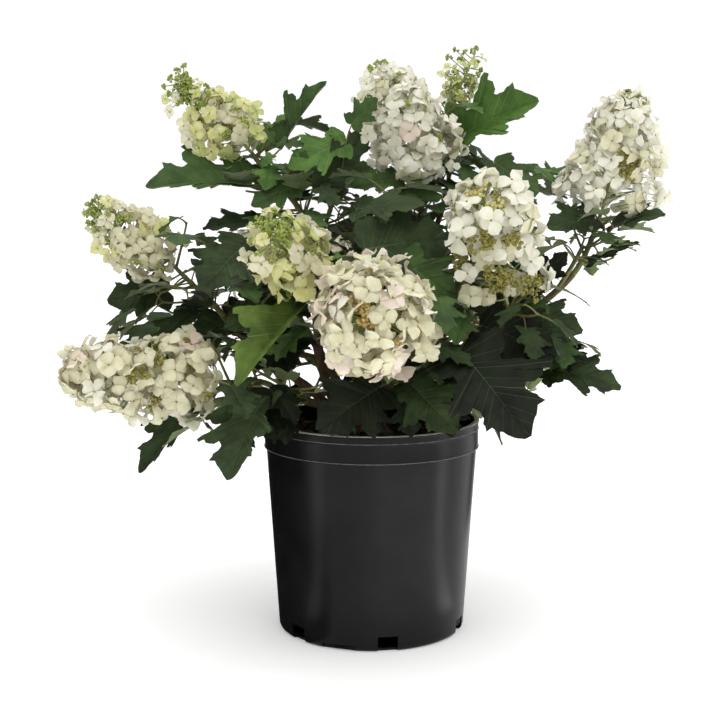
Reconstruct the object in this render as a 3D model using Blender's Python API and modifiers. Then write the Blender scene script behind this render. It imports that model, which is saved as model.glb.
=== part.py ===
"""Oakleaf hydrangea growing in a black nursery pot.

Metres, +Z up.  The origin is the centre of the pot's flat underside, and -Y is
the front of the plant.  The pot and its soil are turned solids.  A short woody
crown stands on the soil, canes rise from it and boughs branch from the canes.
Every limb ends in a leafy shoot, and most shoots end in a flower head.  A shoot
is one solid: its stem, leaf stalks and lobed leaves are fused by one union.
"""
import math
import random

import bmesh
import bpy
from mathutils import Matrix, Vector
from mathutils.bvhtree import BVHTree

MM = 0.001
GAP = 0.3 * MM          # clearance kept between pieces that touch
WELD = 0.01 * MM        # merge distance for turned shapes and tube caps
UP = Vector((0, 0, 1))
SCRAP_VOLUME = 30e-9    # m3: a loose body above this is worth a message

# ---- pot and soil ----------------------------------------------------------
POT_HEIGHT = 0.216
POT_TOP_RADIUS = 0.110      # over the rolled lip
POT_BASE_RADIUS = 0.0949
POT_WALL = 1.6 * MM
POT_EDGE = 0.6 * MM         # size of the small steps and edges of the lip
POT_STEPS = 32
LIP_HEIGHT = 8.5 * MM       # lip down to the fine groove under it
GROOVE = 0.9 * MM           # depth of that groove, and half its height
BAND_HEIGHT = 28 * MM       # lip top down to the lower edge of the raised band
BAND_PROUD = 2.2 * MM       # how far the band stands out of the wall below it
BASE_ROUNDING = 5 * MM
NOTCH_DEPTH = 12 * MM
# Drain notches in the base: (how many, turn of the first from -Y towards +X in
# degrees, width, height), narrow tall ones with wide low ones between them.
NOTCHES = (
    (6, 9.4, 20 * MM, 12 * MM),
    (3, -20.6, 34 * MM, 5.5 * MM),
)
SOIL_TOP = POT_HEIGHT - 18 * MM
SOIL_FALL = 3 * MM          # how far the soil's top edge is rounded down

# ---- woody crown, canes and boughs ------------------------------------------
CROWN_CENTRE = Vector((-0.015, 0.0, SOIL_TOP + GAP))
CROWN_HEIGHT = 25 * MM
CROWN_FLARE_RADIUS = 36 * MM
CROWN_STEPS = 16
CROWN_LOBES = 8
CROWN_LOBE_DEPTH = 2.2 * MM
# rings of the crown: (share of the flare radius, share of the height)
CROWN_RINGS = ((1.00, 0.00), (0.86, 0.22), (0.74, 0.55), (0.72, 0.80), (0.52, 1.00))
CANE_RING = 17 * MM         # distance of a cane's foot from the crown's middle
CANE_SINK = 9 * MM          # how far under the crown's top a cane's line starts
CANE_FOOT_RADIUS = 4.9 * MM
CANE_TIP_RADIUS = 3.3 * MM
BOUGH_FOOT_RADIUS = 3.5 * MM
BOUGH_TIP_RADIUS = 2.7 * MM
CANE_POINTS = 7
BOUGH_POINTS = 5
JOINT_DEPTH = 2 * MM        # run of a stem inside the limb that it is then cut clear of

# name: (heading of its foot on the crown in degrees from +X, tip in mm)
CANES = {
    "cane_low_left": (228, (-98, -58, 257)),
    "cane_left": (190, (-148, -18, 322)),
    "cane_upper_left": (152, (-62, 6, 402)),
    "cane_back_left": (112, (-95, 105, 345)),
    "cane_back_right": (66, (105, 105, 350)),
    "cane_centre": (22, (46, 28, 392)),
    "cane_right": (335, (203, 0, 362)),
    "cane_front": (280, (8, -72, 298)),
}

# name: (limb it branches from, how far along that limb, tip in mm)
BOUGHS = {
    "bough_centre_left": ("cane_upper_left", 0.50, (-46, -56, 335)),
    "bough_top": ("cane_centre", 0.62, (78, 62, 440)),
    "bough_right_centre": ("cane_right", 0.42, (118, -38, 292)),
    "bough_back": ("cane_back_left", 0.55, (-25, 135, 335)),
    "bough_back_low": ("cane_back_right", 0.40, (95, 150, 285)),
    "bough_back_side": ("cane_back_left", 0.40, (-150, 85, 285)),
}

# ---- leafy shoots -----------------------------------------------------------
STEM_FOOT_RADIUS = 2.7 * MM
STEM_TIP_RADIUS = 1.9 * MM
STEM_POINTS = 3
STALK_RADIUS = 1.15 * MM
STALK_ROOT = 7 * MM         # length of a stalk that may touch its neighbours
STALK_SHORTEST = 9 * MM
STALK_SHARPEST = -0.5       # least cosine of the bend between a stalk and its blade
STALK_LENGTH = (0.28, 0.50)     # range, as a share of the shoot's blade length
STALK_FORWARD = (0.35, 0.75)    # how far a stalk leans along the stem
LEAF_HALF_THICKNESS = 0.011     # at the midrib, as a share of the blade's length
LEAF_LENGTH = (0.86, 1.12)      # range, as a share of the shoot's blade length
LEAF_WIDTH = (0.82, 1.00)       # range of the width factor
LEAF_ARCH = (0.35, 0.80)        # range of the arch over a blade's length, in radians
LEAF_FOLD = (5, 20)             # range of the rise of the two halves, in degrees
LEAF_ROLL = 0.35                # largest roll about the midrib, in radians
LEAF_TURN_STEP = 0.09           # loosening of a leaf's heading at each attempt
LEAF_PITCH_STEP = 0.10          # loosening of its pitch at each attempt
LEAF_SHRINK_STEP = 0.045        # loss of size at each attempt
LEAF_TRIES = 14
LEAF_CLEARANCE = 0.9 * MM
HANG_LOW = 0.24                 # at this height and below the leaves hang most
HANG_HIGH = 0.50                # from this height up they spread almost level
HANG_LOW_PITCH = -48            # degrees from the level
HANG_HIGH_PITCH = -4
FIRST_NODE = (0.16, 0.32)       # place of the first pair: tip shoots, side shoots
LAST_NODE = 0.94

# name: (limb, how far along it, tip in mm, pairs of leaves, blade length in mm)
SHOOTS = {
    "upper_left": ("cane_upper_left", 1.0, (-121, 18, 484), 2, 84),
    "left": ("cane_left", 1.0, (-197, -30, 375), 2, 78),
    "low_left": ("cane_low_left", 1.0, (-150, -70, 264), 3, 92),
    "centre_left": ("bough_centre_left", 1.0, (-62, -92, 372), 3, 92),
    "centre": ("cane_front", 1.0, (8, -118, 334), 3, 96),
    "top_centre": ("cane_centre", 1.0, (57, 29, 467), 4, 84),
    "top": ("bough_top", 1.0, (82, 70, 528), 3, 80),
    "right_centre": ("bough_right_centre", 1.0, (131, -60, 338), 3, 92),
    "right": ("cane_right", 1.0, (231, 0, 426), 3, 74),
    "back_left": ("cane_back_left", 1.0, (-122, 146, 362), 3, 96),
    "back": ("bough_back", 1.0, (-22, 176, 352), 3, 98),
    "back_right": ("cane_back_right", 1.0, (126, 136, 386), 3, 96),
    "back_low": ("bough_back_low", 1.0, (120, 195, 312), 3, 98),
    "back_side": ("bough_back_side", 1.0, (-205, 110, 312), 3, 98),
    "front_left_low": ("cane_low_left", 0.62, (-92, -92, 268), 3, 96),
    "mid_left": ("cane_left", 0.62, (-112, -46, 330), 3, 94),
    "front_low": ("cane_front", 0.45, (32, -100, 276), 2, 98),
    "front_right": ("bough_right_centre", 0.62, (86, -90, 308), 2, 100),
    "low_right": ("cane_right", 0.66, (176, 6, 272), 3, 82),
    "knee_right": ("cane_right", 0.90, (212, -8, 392), 2, 66),
    "upper_centre": ("cane_upper_left", 0.84, (-30, 2, 462), 2, 78),
    "middle": ("cane_centre", 0.58, (-6, -44, 408), 3, 88),
    "upper_right": ("cane_back_right", 0.86, (136, 28, 462), 3, 84),
    "back_low_left": ("cane_back_left", 0.30, (-70, 110, 262), 3, 98),
    "back_low_right": ("cane_back_right", 0.28, (35, 112, 262), 3, 98),
    "back_top": ("cane_back_right", 0.72, (25, 100, 430), 3, 92),
}

# Leaves that give the front its outline: (shoot, place along its stem, blade's
# base in mm, blade's tip in mm, way the upper face looks, width factor).
SET_LEAVES = (
    ("upper_left", 0.55, (-122, 2, 452), (-222, -28, 449), (0.1, -0.25, 1), 0.85),
    ("upper_left", 0.80, (-90, 26, 486), (-45, 30, 551), (-0.7, -0.7, 0.3), 0.62),
    ("upper_left", 0.92, (-110, 46, 488), (-84, 80, 528), (-0.5, -0.8, 0.2), 0.60),
    ("upper_centre", 0.60, (-48, -4, 447), (-4, 7, 509), (0.6, -0.8, 0.4), 0.60),
    ("upper_centre", 0.70, (-42, 56, 444), (4, 86, 467), (-0.5, -0.8, 0.4), 0.75),
    ("middle", 0.70, (-16, -46, 428), (50, -72, 434), (0.0, -0.6, 0.8), 0.72),
    ("middle", 0.45, (-50, -26, 424), (-70, -66, 404), (-0.1, -0.6, 0.8), 0.80),
    ("middle", 0.95, (-9, -76, 391), (77, -48, 400), (-0.3, -0.9, 0.35), 0.95),
    ("centre_left", 0.15, (-60, -86, 346), (-124, -150, 270), (-0.45, -0.85, 0.1), 0.74),
    ("upper_left", 0.08, (-122, -42, 396), (-162, -88, 352), (-0.1, -0.8, 0.6), 0.95),
    ("upper_left", 0.22, (-112, 2, 414), (-168, -16, 408), (0.0, -0.7, 0.75), 0.80),
    ("left", 0.75, (-206, -2, 346), (-264, -18, 336), (-0.1, -0.9, 0.45), 0.95),
    ("mid_left", 0.60, (-130, 14, 318), (-202, 12, 286), (0.0, -0.75, 0.65), 0.80),
    ("centre_left", 0.12, (-74, -36, 340), (-140, -84, 316), (0.1, -0.7, 0.7), 0.80),
    ("low_left", 0.80, (-172, -12, 232), (-232, -40, 166), (0.35, -0.8, 0.5), 0.62),
    ("front_left_low", 0.75, (-103, -112, 252), (-129, -172, 188), (-0.1, -0.9, 0.45), 0.95),
    ("front_low", 0.85, (8, -118, 266), (-50, -162, 231), (0.2, -0.8, 0.6), 0.90),
    ("front_low", 0.95, (34, -106, 268), (76, -154, 228), (-0.1, -0.8, 0.6), 0.88),
    ("front_right", 0.80, (82, -120, 299), (138, -180, 228), (0.1, -0.85, 0.5), 0.95),
    ("front_right", 0.95, (104, -70, 318), (172, -110, 292), (0.1, -0.8, 0.6), 0.90),
    ("low_right", 0.90, (182, -2, 267), (251, -20, 249), (-0.1, -0.7, 0.7), 0.70),
    ("knee_right", 0.70, (218, -12, 374), (264, -30, 396), (0.2, -0.35, 0.9), 0.65),
    ("right", 0.55, (240, -14, 404), (284, -50, 414), (0.0, -0.45, 0.9), 0.80),
    ("right", 0.60, (222, -10, 410), (170, -42, 402), (0.1, -0.7, 0.7), 0.80),
    ("right", 0.85, (204, 72, 452), (164, 62, 466), (0.1, -0.7, 0.7), 0.85),
    ("top", 0.55, (88, 50, 500), (170, 30, 537), (-0.3, -0.95, 0.2), 0.92),
    ("upper_right", 0.80, (124, 18, 474), (165, -10, 442), (0.1, -0.8, 0.6), 0.85),
    ("top_centre", 0.40, (64, 0, 445), (4, -8, 430), (-0.1, -0.6, 0.8), 0.80),
    ("right_centre", 0.10, (148, -24, 326), (208, -38, 308), (0.0, -0.8, 0.6), 0.85),
)

# ---- flower heads ------------------------------------------------------------
FLORET_RADIUS = 15.5 * MM
FLORET_NOTCH = 0.60         # depth of the notch between two sepals
SEPAL_LIFT = 0.10           # rise of a sepal's tip, as a share of the floret's radius
FLORET_SINK = 0.22          # how far its centre lies inside the head's outline, likewise
FLORET_TILT = 0.25          # largest random tilt of a floret
FLORET_TRIES = 10
HEAD_CORE = 0.70            # core radius as a share of the head's radius
HEAD_SIDES = 6
HEAD_RINGS = (0.06, 0.30, 0.60, 0.88)
BUD_RADIUS = 5.8 * MM
BUD_SEAT = 0.66             # distance of a bud from the axis, as a share of the radius
BUD_SPACING = 5.4 * MM
GOLDEN_TURN = math.pi * (3 - math.sqrt(5))

# shoot: (tip in mm, radius low down, radius near the tip, florets, floret scale,
#         share of the length at the tip that holds only green buds, colour)
HEADS = {
    "upper_left": ((-194, 2, 560), 33, 15, 12, 0.80, 0.26, "greenish"),
    "left": ((-278, -50, 432), 33, 17, 12, 0.85, 0.14, "greenish"),
    "low_left": ((-292, -118, 280), 44, 30, 18, 1.00, 0.00, "white"),
    "centre_left": ((-98, -172, 416), 37, 30, 12, 1.00, 0.30, "greenish"),
    "centre": ((-8, -232, 342), 57, 42, 21, 1.05, 0.00, "white"),
    "top_centre": ((12, 8, 562), 50, 30, 20, 1.00, 0.06, "white"),
    "top": ((110, 70, 592), 16, 17, 6, 0.50, 0.75, "green"),
    "right_centre": ((97, -128, 458), 48, 38, 19, 1.02, 0.00, "white"),
    "right": ((256, -10, 545), 56, 20, 20, 1.00, 0.03, "white"),
    "back_left": ((-152, 226, 380), 44, 20, 10, 1.25, 0.00, "white"),
    "back": ((-12, 268, 390), 46, 22, 10, 1.25, 0.00, "white"),
    "back_right": ((160, 208, 430), 44, 20, 10, 1.25, 0.00, "white"),
    "back_low": ((150, 268, 338), 44, 22, 10, 1.25, 0.00, "white"),
}

# ---- the room that foliage keeps to -------------------------------------------
ENVELOPE_CENTRE = Vector((-0.01, 0.0, 0.345))
ENVELOPE_SIZE = Vector((0.315, 0.285, 0.245))
ENVELOPE_POWER = 2.4
FRONT_EYE = Vector((-0.0117, -1.405, 0.4586))   # where the front is looked at from

# Gaps of open air that show from the front: (x mm, z mm, radius mm) at y = 0.
OPEN_GAPS = (
    (-42, 273, 15), (-68, 255, 7), (-55, 231, 6), (-142, 263, 12), (-111, 259, 7),
    (-40, 422, 6), (-72, 432, 5), (-4, 447, 10), (13, 459, 7), (-180, 354, 9),
    (-159, 324, 7), (81, 372, 6), (195, 378, 12), (-167, 425, 18), (-20, 572, 30),
    (202, 526, 27), (276, 336, 36), (232, 306, 18), (-290, 316, 20), (-289, 182, 45),
    (-145, 590, 34), (-111, 530, 12), (57, 605, 24), (-241, 505, 44), (188, 496, 14),
    (275, 203, 60), (208, 210, 22), (-197, 147, 22), (30, 128, 52), (-45, 128, 52),
    (100, 138, 44), (-253, 382, 14), (-315, 336, 25),
    (-225, 262, 8), (150, 590, 30),
)

COLOURS = {
    "pot_plastic": ((0.018, 0.018, 0.019, 1), 0.38),
    "potting_mix": ((0.020, 0.012, 0.008, 1), 0.95),
    "old_wood": ((0.075, 0.042, 0.026, 1), 0.85),
    "cane_bark": ((0.110, 0.088, 0.032, 1), 0.70),
    "leaf_green": ((0.030, 0.075, 0.026, 1), 0.55),
    "blossom_white": ((0.80, 0.77, 0.64, 1), 0.60),
    "blossom_greenish": ((0.66, 0.70, 0.40, 1), 0.60),
    "blossom_green": ((0.22, 0.33, 0.08, 1), 0.60),
}


# ============================ scene helpers ===================================
def clear_scene():
    for item in list(bpy.data.objects):
        bpy.data.objects.remove(item, do_unlink=True)


def new_collection(name):
    collection = bpy.data.collections.new(name)
    bpy.context.scene.collection.children.link(collection)
    return collection


def make_materials():
    materials = {}
    for name, (colour, roughness) in COLOURS.items():
        material = bpy.data.materials.new(name)
        material.use_nodes = True
        shader = material.node_tree.nodes["Principled BSDF"]
        shader.inputs["Base Color"].default_value = colour
        shader.inputs["Roughness"].default_value = roughness
        material.diffuse_color = colour
        materials[name] = material
    return materials


def add_object(name, mesh, collection, material=None):
    item = bpy.data.objects.new(name, mesh)
    collection.objects.link(item)
    if material:
        mesh.materials.clear()
        mesh.materials.append(material)
    return item


def bmesh_object(name, shape, collection, material=None):
    mesh = bpy.data.meshes.new(name)
    shape.to_mesh(mesh)
    shape.free()
    return add_object(name, mesh, collection, material)


def evaluated_mesh(item):
    """A plain mesh of the object with its modifiers applied, in world space."""
    graph = bpy.context.evaluated_depsgraph_get()
    mesh = bpy.data.meshes.new_from_object(item.evaluated_get(graph))
    mesh.transform(item.matrix_world)
    return mesh


def guide(item):
    """Marks a cutter: it shapes other pieces and is not one itself."""
    item.hide_render = True
    item.display_type = "WIRE"
    return item


def cut(item, cutter):
    boolean = item.modifiers.new("cut_" + cutter.name, "BOOLEAN")
    boolean.operation = "DIFFERENCE"
    boolean.solver = "EXACT"
    boolean.object = cutter


def turned(name, profile, steps, collection, material=None):
    """A closed profile of (radius, height) points screwed about the Z axis."""
    mesh = bpy.data.meshes.new(name)
    points = [(radius, 0, height) for radius, height in profile]
    edges = [(i, i + 1) for i in range(len(points) - 1)]
    mesh.from_pydata(points, edges, [])
    item = add_object(name, mesh, collection, material)
    screw = item.modifiers.new("turn", "SCREW")
    screw.steps = steps
    screw.render_steps = steps
    screw.use_merge_vertices = True
    screw.merge_threshold = WELD
    return item


def tube(name, points, radii, collection, material=None, resolution=1):
    """A tapering tube of 4 + 2 * resolution sides along the points."""
    curve = bpy.data.curves.new(name, "CURVE")
    curve.dimensions = "3D"
    curve.bevel_depth = 1.0
    curve.bevel_resolution = resolution
    curve.use_fill_caps = True
    spline = curve.splines.new("POLY")
    spline.points.add(len(points) - 1)
    for knot, point, radius in zip(spline.points, points, radii):
        knot.co = (*point, 1)
        knot.radius = radius
    path = bpy.data.objects.new(name + "_path", curve)
    collection.objects.link(path)
    mesh = evaluated_mesh(path)
    bpy.data.objects.remove(path, do_unlink=True)
    shape = bmesh.new()
    shape.from_mesh(mesh)
    bmesh.ops.remove_doubles(shape, verts=shape.verts, dist=WELD)
    bmesh.ops.recalc_face_normals(shape, faces=shape.faces)
    shape.to_mesh(mesh)
    shape.free()
    return add_object(name, mesh, collection, material)


def inflated(item, distance, collection):
    """A cutter that stands the given distance off the object's surface."""
    mesh = evaluated_mesh(item)
    shape = bmesh.new()
    shape.from_mesh(mesh)
    bmesh.ops.remove_doubles(shape, verts=shape.verts, dist=WELD)
    shape.normal_update()
    moves = [(v, v.normal * distance * v.calc_shell_factor()) for v in shape.verts]
    for vertex, move in moves:
        vertex.co += move
    return guide(bmesh_object(item.name + "_clear", shape, collection))


def volume_of(faces):
    total = 0.0
    for face in faces:
        corners = [v.co for v in face.verts]
        for i in range(1, len(corners) - 1):
            total += corners[0].dot(corners[i].cross(corners[i + 1])) / 6
    return total


def main_body(mesh):
    """Keeps the largest closed body of a mesh and drops scraps and hollows."""
    shape = bmesh.new()
    shape.from_mesh(mesh)
    bmesh.ops.triangulate(shape, faces=shape.faces)
    waiting = set(shape.faces)
    bodies = []
    while waiting:
        seed = waiting.pop()
        body = [seed]
        for face in body:
            for edge in face.edges:
                if len(edge.link_faces) != 2:
                    continue
                for other in edge.link_faces:
                    if other in waiting:
                        waiting.remove(other)
                        body.append(other)
        bodies.append(body)
    bodies.sort(key=volume_of, reverse=True)
    for body in bodies[1:]:
        if volume_of(body) > SCRAP_VOLUME:
            print(mesh.name, "loses a body of", round(volume_of(body) * 1e9), "mm3")
    scraps = [face for body in bodies[1:] for face in body]
    bmesh.ops.delete(shape, geom=scraps, context="FACES")
    shape.to_mesh(mesh)
    shape.free()


def fuse(name, core, pieces, collection, material):
    """Joins closed solids into one by a single union, then removes them."""
    group = new_collection(name + "_pieces")
    for piece in pieces:
        for home in list(piece.users_collection):
            home.objects.unlink(piece)
        group.objects.link(piece)
    union = core.modifiers.new("fuse", "BOOLEAN")
    union.operation = "UNION"
    union.operand_type = "COLLECTION"
    union.collection = group
    union.solver = "EXACT"
    mesh = evaluated_mesh(core)
    mesh.name = name
    for piece in [core] + pieces:
        bpy.data.objects.remove(piece, do_unlink=True)
    bpy.data.collections.remove(group)
    main_body(mesh)
    return add_object(name, mesh, collection, material)


# ============================ pot, soil, woody crown ===========================
def wall_radius(height):
    """Outer radius of the plain tapering wall under the band."""
    share = height / (POT_HEIGHT - BAND_HEIGHT)
    top = POT_TOP_RADIUS - BAND_PROUD - 0.5 * MM
    return POT_BASE_RADIUS + (top - POT_BASE_RADIUS) * share


def make_pot(collection, cutters, material):
    lip = POT_TOP_RADIUS
    groove = POT_HEIGHT - LIP_HEIGHT
    band_low = POT_HEIGHT - BAND_HEIGHT
    wall_top = wall_radius(band_low)
    corner = wall_radius(BASE_ROUNDING)
    inner = corner - POT_WALL
    profile = [
        (0, POT_WALL),
        (inner - BASE_ROUNDING, POT_WALL),
        (inner, POT_WALL + BASE_ROUNDING),
        (wall_top - POT_WALL, band_low),
        (lip - GROOVE - POT_WALL, band_low + POT_WALL),
        (lip - POT_EDGE - POT_WALL, POT_HEIGHT),
        (lip - POT_EDGE, POT_HEIGHT),
        (lip, POT_HEIGHT - POT_EDGE),
        (lip, groove + GROOVE),
        (lip - GROOVE, groove),
        (lip - 0.4 * GROOVE, groove - GROOVE),
        (lip - 0.1 * GROOVE, band_low + POT_EDGE),
        (lip - POT_EDGE, band_low),
        (wall_top, band_low - 0.5 * POT_EDGE),
        (corner, BASE_ROUNDING),
        (corner - 0.32 * BASE_ROUNDING, 0.3 * BASE_ROUNDING),
        (corner - BASE_ROUNDING, 0),
        (0, 0),
    ]
    pot = turned("pot", profile, POT_STEPS, collection, material)
    for count, first, width, height in NOTCHES:
        for index in range(count):
            turn = math.radians(first) + index * math.tau / count
            shape = bmesh.new()
            bmesh.ops.create_cube(shape, size=1)
            size = Matrix.Diagonal((width, NOTCH_DEPTH, 2 * height, 1))
            place = Matrix.Rotation(turn, 4, "Z") @ Matrix.Translation((0, -corner, 0))
            bmesh.ops.transform(shape, matrix=place @ size, verts=shape.verts)
            cut(pot, guide(bmesh_object("notch", shape, cutters)))
    return pot


def make_soil(collection, material):
    """Potting mix that fills the pot, 0.3 mm clear of it, under the drain notches."""
    clear = GAP + 0.2 * MM
    floor = POT_WALL + GAP
    low = wall_radius(BASE_ROUNDING) - POT_WALL - clear
    band_low = POT_HEIGHT - BAND_HEIGHT
    high = wall_radius(band_low) - POT_WALL - clear
    profile = [
        (0, SOIL_TOP),
        (high - SOIL_FALL, SOIL_TOP),
        (high, SOIL_TOP - SOIL_FALL),
        (high, band_low - SOIL_FALL),
        (low, POT_WALL + BASE_ROUNDING + clear),
        (low - BASE_ROUNDING, floor),
        (0, floor),
    ]
    return turned("soil", profile, POT_STEPS // 2, collection, material)


def make_crown(collection, material):
    """The woody stool: flared and lobed at the soil, flat underneath."""
    shape = bmesh.new()
    loops = []
    for spread, rise in CROWN_RINGS:
        ring = []
        for step in range(CROWN_STEPS):
            turn = step * math.tau / CROWN_STEPS
            lobe = CROWN_LOBE_DEPTH * math.cos(CROWN_LOBES * turn) * (1.3 - rise)
            radius = CROWN_FLARE_RADIUS * spread + lobe
            offset = Vector((math.cos(turn) * radius, math.sin(turn) * radius, rise * CROWN_HEIGHT))
            ring.append(shape.verts.new(CROWN_CENTRE + offset))
        loops.append(ring)
    for lower, upper in zip(loops, loops[1:]):
        for step in range(CROWN_STEPS):
            after = (step + 1) % CROWN_STEPS
            shape.faces.new((lower[step], lower[after], upper[after], upper[step]))
    shape.faces.new(reversed(loops[0]))
    shape.faces.new(loops[-1])
    return bmesh_object("woody_crown", shape, collection, material)


# ============================ limbs ============================================
def hermite(start, start_pull, end, end_pull, share):
    a = 2 * share ** 3 - 3 * share ** 2 + 1
    b = share ** 3 - 2 * share ** 2 + share
    c = -2 * share ** 3 + 3 * share ** 2
    d = share ** 3 - share ** 2
    return start * a + start_pull * b + end * c + end_pull * d


class Path:
    """A smooth line with a taper that stems, stalks and leaves are placed on."""

    def __init__(self, start, start_way, end, end_way, foot_radius, tip_radius):
        span = (end - start).length
        self.ends = (start, start_way.normalized() * span, end, end_way.normalized() * span)
        self.radii = (foot_radius, tip_radius)

    def point(self, share):
        return hermite(*self.ends, share)

    def way(self, share):
        step = 0.01
        low = max(0.0, share - step)
        high = min(1.0, share + step)
        return (self.point(high) - self.point(low)).normalized()

    def radius(self, share):
        return self.radii[0] + (self.radii[1] - self.radii[0]) * share

    def samples(self, count):
        shares = [i / (count - 1) for i in range(count)]
        return [self.point(s) for s in shares], [self.radius(s) for s in shares]


def in_metres(millimetres):
    return Vector(millimetres) * MM


def limb_paths():
    """Paths of all canes and boughs by name."""
    paths = {}
    for name, (heading, tip) in CANES.items():
        turn = math.radians(heading)
        outward = Vector((math.cos(turn), math.sin(turn), 0))
        foot = CROWN_CENTRE + outward * CANE_RING + UP * (CROWN_HEIGHT - CANE_SINK)
        end = in_metres(tip)
        leave = outward * 0.6 + UP * 0.8
        arrive = (end - foot).normalized() + UP * 0.35
        paths[name] = Path(foot, leave, end, arrive, CANE_FOOT_RADIUS, CANE_TIP_RADIUS)
    for name, (parent, share, tip) in BOUGHS.items():
        foot = paths[parent].point(share)
        end = in_metres(tip)
        leave = (end - foot).normalized() + paths[parent].way(share) * 0.4
        arrive = (end - foot).normalized() + UP * 0.3
        paths[name] = Path(foot, leave, end, arrive, BOUGH_FOOT_RADIUS, BOUGH_TIP_RADIUS)
    return paths


def make_limbs(paths, crown, collection, cutters, material):
    """Canes seated on the crown and boughs seated on their canes."""
    limbs = {}
    clear_of = {"crown": inflated(crown, GAP, cutters)}
    for name, path in paths.items():
        is_cane = name in CANES
        points, radii = path.samples(CANE_POINTS if is_cane else BOUGH_POINTS)
        limb = tube(name, points, radii, collection, material)
        parent = "crown" if is_cane else BOUGHS[name][0]
        if parent not in clear_of:
            clear_of[parent] = inflated(limbs[parent], GAP, cutters)
        cut(limb, clear_of[parent])
        limbs[name] = limb
    return limbs, clear_of


# ============================ leaves ===========================================
# Half of an oak-like leaf: (distance along the midrib, distance from it), both
# as shares of the blade's length, round the lobes between the base and the tip.
LEAF_HALF = (
    (-0.04, 0.20), (0.08, 0.37), (0.27, 0.25), (0.54, 0.47), (0.58, 0.22), (0.76, 0.26),
)
LEAF_MIDRIB = (0.42,)
SET_LEAF_ARCH = 0.35        # arch over the length of a leaf that is set by hand
SET_LEAF_FOLD = math.radians(8)
# Where a blade is tested for room: (distance along it, half width there).
LEAF_TESTS = ((0.0, 0.2), (0.15, 0.34), (0.35, 0.34), (0.55, 0.45), (0.75, 0.25), (1.0, 0.0))


class Blade:
    """The surface of one leaf: base, lengthwise and face directions, size."""

    def __init__(self, base, way, face, length, width, bend, fold):
        self.base = base
        self.length = length
        self.width = width
        self.bend = bend
        self.fold = fold
        self.way = way.normalized()
        across = self.way.cross(face)
        if across.length < 1e-6:
            across = self.way.orthogonal()
        self.across = across.normalized()
        self.face = self.across.cross(self.way).normalized()

    def point(self, along, side, lift=0.0):
        """Point at a share of the length and a signed share of it sideways."""
        angle = self.bend * (along - 0.5)
        start = -0.5 * self.bend
        reach = (math.sin(angle) - math.sin(start)) / self.bend
        drop = (math.cos(angle) - math.cos(start)) / self.bend
        spread = side * self.width
        rise = drop + abs(spread) * math.sin(self.fold)
        offset = self.way * reach + self.across * (spread * math.cos(self.fold)) + self.face * rise
        return self.base + offset * self.length + self.face * lift

    def samples(self):
        """Points spread over the blade, for tests against gaps and the envelope."""
        found = []
        for along, half in LEAF_TESTS:
            for side in (-1.0, -0.5, 0.0, 0.5, 1.0):
                found.append(self.point(along, half * side))
        return found


def blade_bmesh(blade, root=None, extra=0.0):
    """A closed leaf, thick at the midrib and sharp round its lobed edge.

    Its three-sided stalk runs back to the root, or is left off without one.
    """
    shape = bmesh.new()
    half = LEAF_HALF_THICKNESS * blade.length + extra
    stalk_way = blade.way if root is None else (blade.base - root).normalized()
    neck = stalk_ring(shape, blade.base, stalk_way + blade.way, blade.across)
    tip = shape.verts.new(blade.point(1, 0))
    upper = [neck[0]] + [shape.verts.new(blade.point(u, 0, half)) for u in LEAF_MIDRIB]
    lower = [shape.verts.new(blade.point(u, 0, -half)) for u in LEAF_MIDRIB]
    for side, corner in ((1, neck[1]), (-1, neck[2])):
        edge = [corner] + [shape.verts.new(blade.point(u, side * v)) for u, v in LEAF_HALF] + [tip]
        bridge(shape, edge, upper, (0.0,) + LEAF_MIDRIB)
        bridge(shape, edge, lower, LEAF_MIDRIB)
    shape.faces.new((neck[1], neck[2], lower[0]))
    if root is None:
        shape.faces.new(neck)
    else:
        foot = stalk_ring(shape, root, stalk_way, blade.across)
        for i in range(3):
            after = (i + 1) % 3
            shape.faces.new((foot[i], foot[after], neck[after], neck[i]))
        shape.faces.new(foot)
    bmesh.ops.recalc_face_normals(shape, faces=shape.faces)
    return shape


def stalk_ring(shape, centre, way, across):
    """Three corners of a leaf stalk, square to its way: the top one, then the sides."""
    way = way.normalized()
    side = (across - way * across.dot(way)).normalized() * STALK_RADIUS
    top = side.cross(way)
    places = (top, side - top * 0.5, -side - top * 0.5)
    return [shape.verts.new(centre + place) for place in places]


def bridge(shape, edge, ribs, rib_shares):
    """Triangles between the leaf's edge and its midrib, base to tip."""
    edge_shares = [0.0] + [u for u, _v in LEAF_HALF] + [1.0]
    i = 0
    j = 0
    while i < len(edge) - 1 or j < len(ribs) - 1:
        next_edge = edge_shares[i + 1] if i < len(edge) - 1 else math.inf
        next_rib = rib_shares[j + 1] if j < len(ribs) - 1 else math.inf
        if next_edge <= next_rib:
            shape.faces.new((edge[i], edge[i + 1], ribs[j]))
            i += 1
        else:
            shape.faces.new((edge[i], ribs[j + 1], ribs[j]))
            j += 1


def rod_bmesh(start, end, start_radius, end_radius, sides=3):
    """A straight tapering rod, made as a cone and laid from start to end."""
    span = end - start
    shape = bmesh.new()
    bmesh.ops.create_cone(shape, cap_ends=True, segments=sides, radius1=start_radius,
                          radius2=end_radius, depth=span.length)
    turn = span.to_track_quat("Z", "Y").to_matrix().to_4x4()
    place = Matrix.Translation((start + end) / 2) @ turn
    bmesh.ops.transform(shape, matrix=place, verts=shape.verts)
    return shape


def tree_of(shape):
    tree = BVHTree.FromBMesh(shape)
    shape.free()
    return tree


# ============================ where foliage may go ==============================
def outside_envelope(point):
    offset = point - ENVELOPE_CENTRE
    total = sum(abs(offset[i] / ENVELOPE_SIZE[i]) ** ENVELOPE_POWER for i in range(3))
    return total > 1


def inside_pot_space(point):
    reach = math.hypot(point.x, point.y)
    over_pot = reach < POT_TOP_RADIUS + 4 * MM
    return over_pot and point.z < POT_HEIGHT + 4 * MM


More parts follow.
